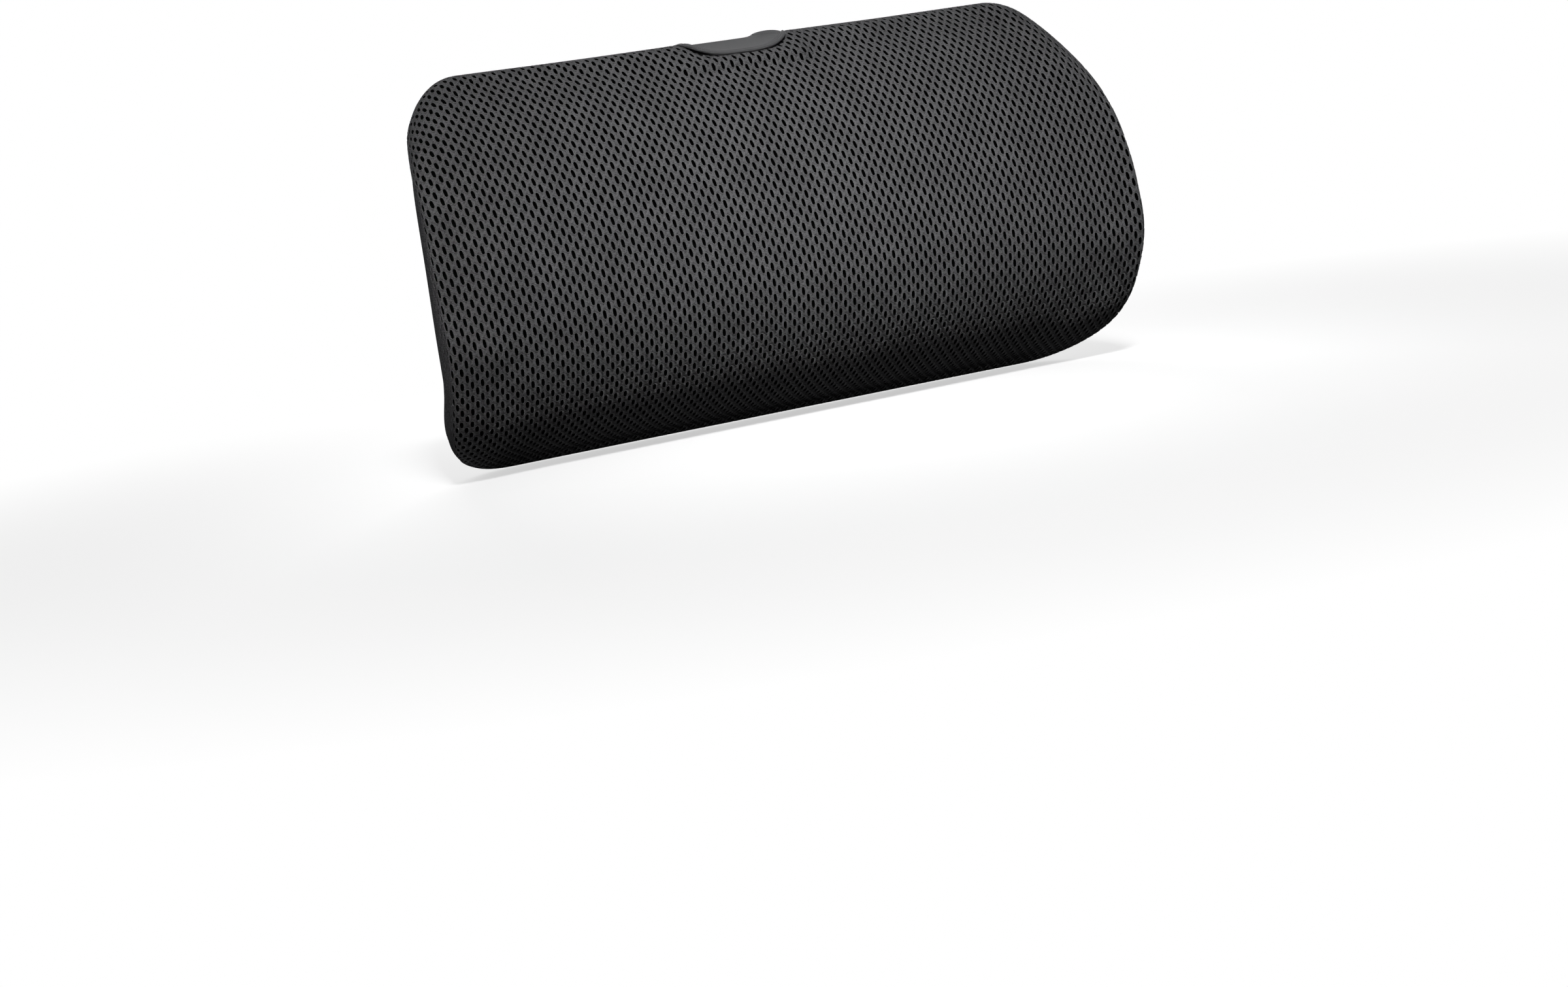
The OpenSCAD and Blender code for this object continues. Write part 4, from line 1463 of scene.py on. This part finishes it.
@dataclass
class ScoopBinding:
    """The rolled edge of the scoop: two cords side by side along the seam.

    Attributes:
        elastic: the strap that comes out of the scoop.
        radius: radius of a cord.
        steps: steps along a cord.
        sides: facets of a cord.
        reach: half the width that the cords span.
        cords: how far each cord lies ahead of the seam, and off the cover.
        fall: how far a cord drops for each step ahead.
    """

    elastic: Elastic
    radius: float = 0.0011
    steps: int = 48
    sides: int = 12
    reach: float = 0.0325
    cords: tuple[Pair, ...] = ((0.0012, 0.0014), (-0.0009, 0.0014))
    fall: float = 0.35

    def taper(self, v: Array) -> Array:
        """Radius of a cord along its length, small at both ends."""
        return self.radius * (0.25 + 0.75 * quarter(np.abs(2 * v - 1) - 0.9, 0.1))

    def dress(self) -> bpy.types.Object:
        """The finished binding."""
        form = self.elastic.form
        x = np.linspace(-self.reach, self.reach, self.steps + 1)
        z = form.upper - np.maximum(form.scoop[1] * form.channel(x), 1e-5)
        depth = form.shoulder_depth(z)
        out = np.stack([depth - form.shoulder[0], z - form.shoulder[1]], 1) / form.shoulder_r
        bm = bmesh.new()
        for ahead, rise in self.cords:
            lift = rise * np.clip(4 * form.channel(x), 0.2, 1)
            y = -(form.deep(depth) + ahead + lift * out[:, 0])
            path = np.stack([x, y, form.crown_z + z + lift * out[:, 1] - ahead * self.fall], 1)
            join(bm, tube(path, self.taper, self.sides, False))
        made = Piece("scoop_binding", bm, Finishes.seam_lip).dress()
        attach(made, "cushion")
        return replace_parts(made, "strap_binding")


@dataclass
class BackCloth:
    """The plain woven back in two halves, with a slot for the zip between them.

    Attributes:
        form: the cushion's shape.
        zip_z: height of the zip line.
        slot: half length and half height of the slot.
        thick: thickness of the cloth.
        sink: how far the edge dips into the seam.
        pucker: height of the puckers along the edge.
        inset: how far the cloth's edge lies inside the back's outline.
        beats: rates of the puckers across and up, in radians a metre.
        fades: distances from the edge over which puckers die away, start, and the dip dies away.
        rest: how far the cloth and the fleece lie in front of their packed backs.
        fleece_inset: how far the fleece's edge lies inside the cloth's, up and across.
        fleece_window: how much wider the fleece's window is than the slot, and half its height.
        fleece_thick: thickness of the fleece.
    """

    form: CushionForm
    zip_z: float = -0.070
    slot: Pair = (0.156, 0.008)
    thick: float = 0.0016
    sink: float = 0.0016
    pucker: float = 0.0004
    inset: float = 0.0048
    beats: Pair = (420, 390)
    fades: Triple = (0.010, 0.002, 0.0045)
    rest: float = 0.0004
    fleece_inset: Pair = (0.008, 0.010)
    fleece_window: Pair = (0.008, 0.014)
    fleece_thick: float = 0.0022

    def half_width(self, z: Array) -> Array:
        """Half the back's width at a height."""
        line = self.form.outline(self.inset, OUTLINE_STEPS)
        right = line[line[:, 0] > 0]
        widest_out = np.where(right[:, 1] > 0, right[:, 0], -right[:, 0])
        right = right[np.lexsort((widest_out, right[:, 1].round(5)))]
        return np.interp(z, right[:, 1], right[:, 0])

    def dress(self, side: Side) -> bpy.types.Object:
        """One finished half.

        Args:
            side: above or below the zip.

        Returns:
            The cloth.
        """
        heights = self.form.outline(self.inset, OUTLINE_STEPS)[:, 1]
        far = heights.max() if side is Side.UPPER else heights.min()
        near = self.zip_z + side.value * 0.0001
        hem = self.zip_z + side.value * self.slot[1]
        rows = 44 if side is Side.UPPER else 16
        ease = np.sin(np.linspace(0, math.pi / 2, rows))
        stops = np.concatenate([[near], hem + (far - side.value * 1e-4 - hem) * ease])
        wide = float(self.half_width(np.array([near]))[0])
        part = self.slot[0] / wide
        beside = np.linspace(part, 1, 7)[1:]
        across = np.concatenate([-beside[::-1], np.linspace(-part, part, 78), beside])

        def place(u: Array, v: Array) -> Array:
            """Points of the flat back, with its dipped and puckered edge."""
            z = stops[np.rint(v * (len(stops) - 1)).astype(int)]
            share = across[np.rint(u * (len(across) - 1)).astype(int)]
            half = self.half_width(z)
            edge = np.minimum((1 - np.abs(share)) * half, np.abs(far - z))
            run = share * half * self.beats[0] + z * self.beats[1]
            fade, start, dip = self.fades
            wave = self.pucker * np.sin(run) * np.exp(-edge / fade) * np.clip(edge / start, 0, 1)
            y = -self.rest - self.sink * np.exp(-edge / dip) + wave
            return np.stack([share * half, y, z], 1)

        bm = patch(len(across) - 1, len(stops) - 1, place, (2 * wide, abs(far - near)))
        cut_window(bm, *self.slot, self.zip_z)
        thicken(bm, self.thick)
        made = Piece("back_cloth_" + side.name.lower(), bm, Finishes.woven_back).dress()
        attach(made, "cushion")
        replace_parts(made, "back_panel_" + side.name.lower())
        return made

    def fleece(self) -> bpy.types.Object:
        """The layer of wadding behind the cloth, with a window for the zip."""
        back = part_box("back_wadding")[1].y - self.rest
        heights = self.form.outline(self.inset + self.fleece_inset[0], OUTLINE_STEPS)[:, 1]
        bm = bmesh.new()
        bmesh.ops.create_grid(bm, x_segments=40, y_segments=22, size=0.5)
        for v in bm.verts:
            z = heights.min() + (v.co.y + 0.5) * (heights.max() - heights.min())
            half = float(self.half_width(np.array([z]))[0]) - self.fleece_inset[1]
            v.co = (2 * v.co.x * half, back, z)
        cut_window(bm, self.slot[0] + self.fleece_window[0], self.fleece_window[1], self.zip_z)
        thicken(bm, self.fleece_thick)
        made = Piece("back_fleece", bm, Finishes.wadding).dress()
        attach(made, "cushion")
        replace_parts(made, "back_wadding")
        return made


@dataclass
class Stitching:
    """Rows of sewing thread: short stitches laid along lines on a surface.

    Attributes:
        name: the piece's name.
        body: the body that it moves with.
        length: length of a stitch.
        gap: distance between stitches.
        radius: radius of the thread.
    """

    name: str
    body: str
    length: float = 0.0030
    gap: float = 0.0014
    radius: float = 0.00035

    def row(self, bm: BMesh, line: Array, way: Vector) -> None:
        """Adds one row.

        Args:
            bm: the mesh that takes the stitches.
            line: the points that the row follows.
            way: the way off the surface.
        """
        total = along_line(line)[-1]
        count = max(1, int(total / (self.length + self.gap)))
        ends = np.arange(count) * (self.length + self.gap) / total
        heads = walk(line, ends)
        tails = walk(line, np.clip(ends + self.length / total, 0, 1))
        for head, tail in zip(heads, tails):
            ahead = Vector(tail - head)
            turn = ahead.to_track_quat("Z", "Y").to_matrix().to_4x4()
            shape = Matrix.Diagonal((self.radius, self.radius, ahead.length / 2, 1))
            at = Matrix.Translation((Vector(head) + Vector(tail)) / 2 + way * self.radius * 0.5)
            bmesh.ops.create_uvsphere(bm, u_segments=6, v_segments=4, radius=1.0, matrix=at @ turn @ shape)

    def dress(self, lines: Iterable[tuple[Array, Vector]]) -> bpy.types.Object:
        """The finished rows."""
        bm = bmesh.new()
        for line, way in lines:
            self.row(bm, line, way)
        made = Piece(self.name, bm, Finishes.thread, slot="seam_lip").dress()
        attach(made, self.body)
        return made


@dataclass
class Zip:
    """The zip in the back: tapes, teeth, stops, slider and pull.

    Attributes:
        bead: height of the bead along a tape's edge.
        bead_at: middle and spread of the bead, as shares of the tape's width.
        steps: quads along and across a tape.
    """

    bead: float = 0.00035
    bead_at: Pair = (0.06, 0.05)
    steps: tuple[int, int] = (108, 24)

    def tape(self, side: Side) -> bpy.types.Object:
        """One woven tape with its thicker edge."""
        low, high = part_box("zip_tape_" + side.name.lower())

        def place(u: Array, v: Array) -> Array:
            """Points of the tape, with a bead along the teeth."""
            z = low.z + v * (high.z - low.z)
            inner = v if side is Side.UPPER else 1 - v
            bead = self.bead * np.exp(-(((inner - self.bead_at[0]) / self.bead_at[1]) ** 2))
            return np.stack([low.x + u * (high.x - low.x), np.full(len(u), high.y) + bead, z], 1)

        bm = patch(*self.steps, place, (high.x - low.x, high.z - low.z))
        thicken(bm, high.y - low.y)
        made = Piece("zip_ribbon_" + side.name.lower(), bm, Finishes.zip_tape).dress()
        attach(made, "cushion")
        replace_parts(made, "zip_tape_" + side.name.lower())
        return made

    def dress(self) -> None:
        """The finished zip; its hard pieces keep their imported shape."""
        for side in Side:
            self.tape(side)
            wear("zip_teeth_" + side.name.lower(), Finishes.zip_teeth)
        wear("zip_stops", Finishes.zip_teeth)
        wear("zip_slider", Finishes.zip_metal)
        wear("zip_pull", Finishes.zip_metal)


@dataclass
class Closure:
    """Hook and loop patches and the grip tab on the strap's tail.

    Attributes:
        corner_r: radius of a patch's corners.
        edge_r: radius of its edges.
        tab_thick: thickness of the tab's ribbon.
        tab_gap: how far the tab's ends lie above its packed box.
    """

    corner_r: float = 0.004
    edge_r: float = 0.0004
    tab_thick: float = 0.0011
    tab_gap: float = 0.0002

    def pad(self, node: str, name: str, finish: Finishes, body: str) -> bpy.types.Object:
        """One sewn patch with a rounded edge."""
        low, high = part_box(node)
        size, middle = high - low, (low + high) / 2
        bm = bmesh.new()
        turn = Matrix.LocRotScale(middle, None, size)
        bmesh.ops.create_cube(bm, size=1.0, matrix=turn)

        def deep(edge: bmesh.types.BMEdge) -> float:
            """How far an edge runs through the patch."""
            return abs(edge.verts[0].co.y - edge.verts[1].co.y)

        corners = [e for e in bm.edges if deep(e) > size.y / 2]
        bevel = {"affect": "EDGES", "profile": 0.5, "material": -1}
        bmesh.ops.bevel(bm, geom=corners, offset=self.corner_r, segments=5, **bevel)
        rim = [e for e in bm.edges if deep(e) < WELD and e.calc_face_angle(0) > 0.5]
        bmesh.ops.bevel(bm, geom=rim, offset=self.edge_r, segments=2, **bevel)
        weave = bm.loops.layers.uv.new(WEAVE_MAP)
        for face in bm.faces:
            for loop in face.loops:
                loop[weave].uv = (loop.vert.co.x / MM, loop.vert.co.z / MM)
        made = Piece(name, bm, finish).dress(smooth=False)
        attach(made, body)
        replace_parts(made, node)
        return made

    def tab(self) -> bpy.types.Object:
        """The folded ribbon at the flap's end."""
        low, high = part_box("flap_tab")
        thick, end = self.tab_thick, low.z + self.tab_gap
        fold = (high.y - low.y) / 2 - thick / 2
        y, top = (low.y + high.y) / 2, high.z - fold - thick / 2
        back = np.array([[y + fold, end], [y + fold, top]])
        front = np.array([[y - fold, top], [y - fold, end]])
        line = np.concatenate([back, arc((y, top), fold, 0, 180, 10)[1:-1], front])
        wide = high.x - low.x

        def place(u: Array, v: Array) -> Array:
            """Points round the folded ribbon."""
            across, face = round_strip(u)
            x = across * wide / 2
            at, out = line_frame(line, v, 0.01)
            off = face * (thick / 2) * np.where(np.abs(x) > wide / 2 - WELD, 0, 1)
            return np.stack([x, at[:, 0] - off * out[:, 0], at[:, 1] - off * out[:, 1]], 1)

        bm = patch(64, 48, place, (2 * wide, along_line(line)[-1]), WELD)
        close_ends(bm)
        made = Piece("grip_ribbon_tab", bm, Finishes.grip_tab).dress()
        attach(made, "flap")
        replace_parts(made, "flap_tab")
        return made

    def dress(self) -> None:
        """The finished closure."""
        self.pad("loop_patch", "loop_pad", Finishes.loop_pile, "strap")
        self.pad("hook_patch", "hook_pad", Finishes.hook_tape, "flap")
        self.tab()


@dataclass
class Studio:
    """Camera, light and floor.

    Attributes:
        azimuth: angle of the view round the object, in degrees.
        elevation: angle of the view above it.
        roll: tilt of the picture.
        distance: from the camera to the aim point, along the view.
        focal_px: focal length in the picture's pixels.
        aim: the point of the object that is placed in the picture.
        aim_px: where in the picture it lies.
        floor_gap: how far the floor lies under the object.
        even_light: strength of the even light on the object.
        floor_shades: the floor's shade to the object and to the camera.
        floor_fade: distances between which the floor turns white.
        floor_white: share of white near the object and far from it.
    """

    azimuth: float = -21.465
    elevation: float = 7.417
    roll: float = -9.271
    distance: float = 1.3985
    focal_px: float = 3633.5
    aim: Triple = (0.0, -0.040, 0.0)
    aim_px: Pair = (1170.5, 353.3)
    floor_gap: float = 0.0005
    even_light: float = 0.05
    floor_shades: Pair = (0.05, 0.85)
    floor_fade: Pair = (0.15, 0.8)
    floor_white: Pair = (0.55, 1)

    def camera(self) -> None:
        """Puts the camera where the object lies as it does in the picture."""
        az, el, roll = (math.radians(a) for a in (self.azimuth, self.elevation, self.roll))
        back = Vector((math.sin(az) * math.cos(el), -math.cos(az) * math.cos(el), math.sin(el)))
        right = Vector((math.cos(az), math.sin(az), 0))
        up = back.cross(right)
        right, up = (
            right * math.cos(roll) + up * math.sin(roll),
            up * math.cos(roll) - right * math.sin(roll),
        )
        offset = (
            right * ((self.aim_px[0] - IMAGE_W / 2) / self.focal_px * self.distance)
            - up * ((self.aim_px[1] - IMAGE_H / 2) / self.focal_px * self.distance)
            - back * self.distance
        )
        data = bpy.data.cameras.new("camera")
        data.sensor_width = SENSOR_MM
        data.lens = self.focal_px / IMAGE_W * SENSOR_MM
        data.clip_start, data.clip_end = 0.05, 50
        made = bpy.data.objects.new("camera", data)
        turn = Matrix((right, up, back)).transposed()
        made.matrix_world = Matrix.Translation(Vector(self.aim) - offset) @ turn.to_4x4()
        bpy.context.scene.collection.objects.link(made)
        bpy.context.scene.camera = made

    def lamp(
        self,
        name: str,
        place: Triple,
        size: float,
        watts: float,
        aim: Triple = (0.0, 0.0, 0.0),
        beam: float = 180.0,
    ) -> None:
        """A soft square lamp.

        Args:
            name: the lamp's name.
            place: where it stands.
            size: its side.
            watts: its power.
            aim: the point that it faces.
            beam: angle of its beam, in degrees.
        """
        data = bpy.data.lights.new(name, "AREA")
        data.size, data.energy, data.spread = size, watts, math.radians(beam)
        made = bpy.data.objects.new(name, data)
        made.location = place
        made.rotation_euler = (Vector(aim) - Vector(place)).to_track_quat("-Z", "Y").to_euler()
        made.visible_camera = False
        bpy.context.scene.collection.objects.link(made)

    def light(self) -> None:
        """A small key lamp in front and above, a low fill at the left, and a lamp behind."""
        self.lamp("key", (-0.32, -1.58, 1.26), 0.3, 1.68, aim=(0.035, -0.1, -0.10), beam=25)
        self.lamp("fill", (-1.5, -1.2, -0.05), 0.8, 18)
        self.lamp("behind", (0.5, 1.9, 0.22), 0.8, 75)

    def world(self) -> None:
        """White to the camera, and a low even light on the object."""
        world = bpy.data.worlds.new("studio")
        bpy.context.scene.world = world
        world.use_nodes = True
        nodes, links = world.node_tree.nodes, world.node_tree.links
        nodes.clear()
        rays = nodes.new("ShaderNodeLightPath")
        seen = rays.outputs["Is Camera Ray"]
        for name in ("Is Glossy Ray", "Is Transmission Ray"):
            either = nodes.new("ShaderNodeMath")
            either.operation = "MAXIMUM"
            links.new(seen, either.inputs[0])
            links.new(rays.outputs[name], either.inputs[1])
            seen = either.outputs[0]
        strength = nodes.new("ShaderNodeMapRange")
        strength.inputs["To Min"].default_value = self.even_light
        strength.inputs["To Max"].default_value = 1.0
        links.new(seen, strength.inputs["Value"])
        sky = nodes.new("ShaderNodeBackground")
        links.new(strength.outputs["Result"], sky.inputs["Strength"])
        sky.inputs["Color"].default_value = (1, 1, 1, 1)
        output = nodes.new("ShaderNodeOutputWorld")
        links.new(sky.outputs[0], output.inputs["Surface"])

    def floor(self, height: float) -> None:
        """A pale floor that fades into the white background."""
        bm = bmesh.new()
        bmesh.ops.create_grid(bm, x_segments=8, y_segments=8, size=12.0)
        bmesh.ops.translate(bm, verts=bm.verts, vec=(0, 0, height))
        data = bpy.data.meshes.new("floor")
        bm.to_mesh(data)
        bm.free()
        made = bpy.data.objects.new("floor", data)
        bpy.context.scene.collection.objects.link(made)
        data.materials.append(self.floor_paint())
        made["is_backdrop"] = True

    def floor_paint(self) -> bpy.types.Material:
        """Pale paint that turns to plain white away from the object, and throws little light back on it."""
        g = Graph("pale_floor")
        rays = g.nodes.new("ShaderNodeLightPath")
        seen = rays.outputs["Is Camera Ray"]
        shade = g.grey(seen, *self.floor_shades, (1, 1, 1))
        g.set(base_color=shade, roughness=0.9, specular_ior_level=0.1)
        far = g.nodes.new("ShaderNodeVectorMath")
        far.operation = "LENGTH"
        g.links.new(g.places(), far.inputs[0])
        fade = g.stretch(far.outputs["Value"], *self.floor_fade, self.floor_white)
        glow = g.nodes.new("ShaderNodeEmission")
        glow.inputs["Color"].default_value = (1, 1, 1, 1)
        mix = g.nodes.new("ShaderNodeMixShader")
        g.put(mix.inputs["Fac"], g.math("MULTIPLY", fade, seen))
        g.links.new(g.shader.outputs[0], mix.inputs[1])
        g.links.new(glow.outputs[0], mix.inputs[2])
        output = next(n for n in g.nodes if n.type == "OUTPUT_MATERIAL")
        g.links.new(mix.outputs[0], output.inputs["Surface"])
        return g.material

    def build(self) -> None:
        """Sets up the whole studio."""
        bpy.context.scene.view_settings.view_transform = "Standard"
        self.camera()
        self.light()
        self.world()
        self.floor(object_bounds()[0].z - self.floor_gap)


def wear(node: str, finish: Finishes) -> None:
    """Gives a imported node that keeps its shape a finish."""
    data = frame["nodes"][node].data
    data.materials.clear()
    data.materials.append(finish.material())


def upright(line: Array, y: float, back: bool = True) -> tuple[Array, Vector]:
    """A line in X and Z, set upright at a depth, with the way off its surface."""
    points = np.stack([line[:, 0], np.full(len(line), y), line[:, 1]], 1)
    return points, Vector((0, 1 if back else -1, 0))


def box_line(x0: float, x1: float, z0: float, z1: float) -> Array:
    """The four sides of a rectangle in X and Z, as one closed line."""
    return np.array([[x0, z0], [x1, z0], [x1, z1], [x0, z1], [x0, z0]])


def sewn_back(cloth: BackCloth) -> None:
    """Stitches round the back's edge and round the zip.

    Args:
        cloth: the back that they go through.
    """
    hem, beside, above, y = 0.011, 0.004, 0.003, 0.0001
    edge = cloth.form.outline(hem, 500)
    half_w, half_h = cloth.slot[0] + beside, cloth.slot[1] + above
    around = box_line(-half_w, half_w, cloth.zip_z - half_h, cloth.zip_z + half_h)
    rows = [upright(np.concatenate([edge, edge[:1]]), y), upright(around, y)]
    Stitching("back_stitches", "cushion").dress(rows)


def sewn_patches(elastic: Elastic) -> None:
    """Stitches through the strap, the flap and the grip tab.

    Args:
        elastic: the strap that they go through.
    """
    margin, seam, apart = 0.002, 0.003, 0.0016
    face = elastic.thick / 2 + elastic.rib
    for node, body, y, back in (
        ("loop_patch", "strap", elastic.band_y - face, False),
        ("hook_patch", "flap", elastic.flat_y + face, True),
    ):
        low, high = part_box(node)
        side = box_line(low.x + margin, high.x - margin, low.z + margin, high.z - margin)
        Stitching(node + "_stitches", body, length=0.0026, gap=0.0010).dress([upright(side, y, back)])
    low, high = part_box("flap_tab")
    across = np.array([[low.x + margin, low.z + seam], [high.x - margin, low.z + seam]])
    rows = [upright(across + (0, k * apart), high.y) for k in range(2)]
    Stitching("tab_stitches", "flap", length=0.0022, gap=0.0008).dress(rows)


def main() -> None:
    """Builds the object's pieces in order, then the studio."""
    logging.basicConfig(level=logging.INFO, format="%(name)s: %(message)s")
    form = CushionForm()
    filled = FilledCushion(form)
    MeshCover(filled).dress()
    Filling(filled).dress()
    SeamLip(form).dress()
    elastic = Elastic(form)
    elastic.dress()
    ScoopBinding(elastic).dress()
    cloth = BackCloth(form)
    cloth.fleece()
    for side in Side:
        cloth.dress(side)
    Zip().dress()
    Closure().dress()
    sewn_back(cloth)
    sewn_patches(elastic)
    Studio().build()


if __name__ == "__main__":
    main()
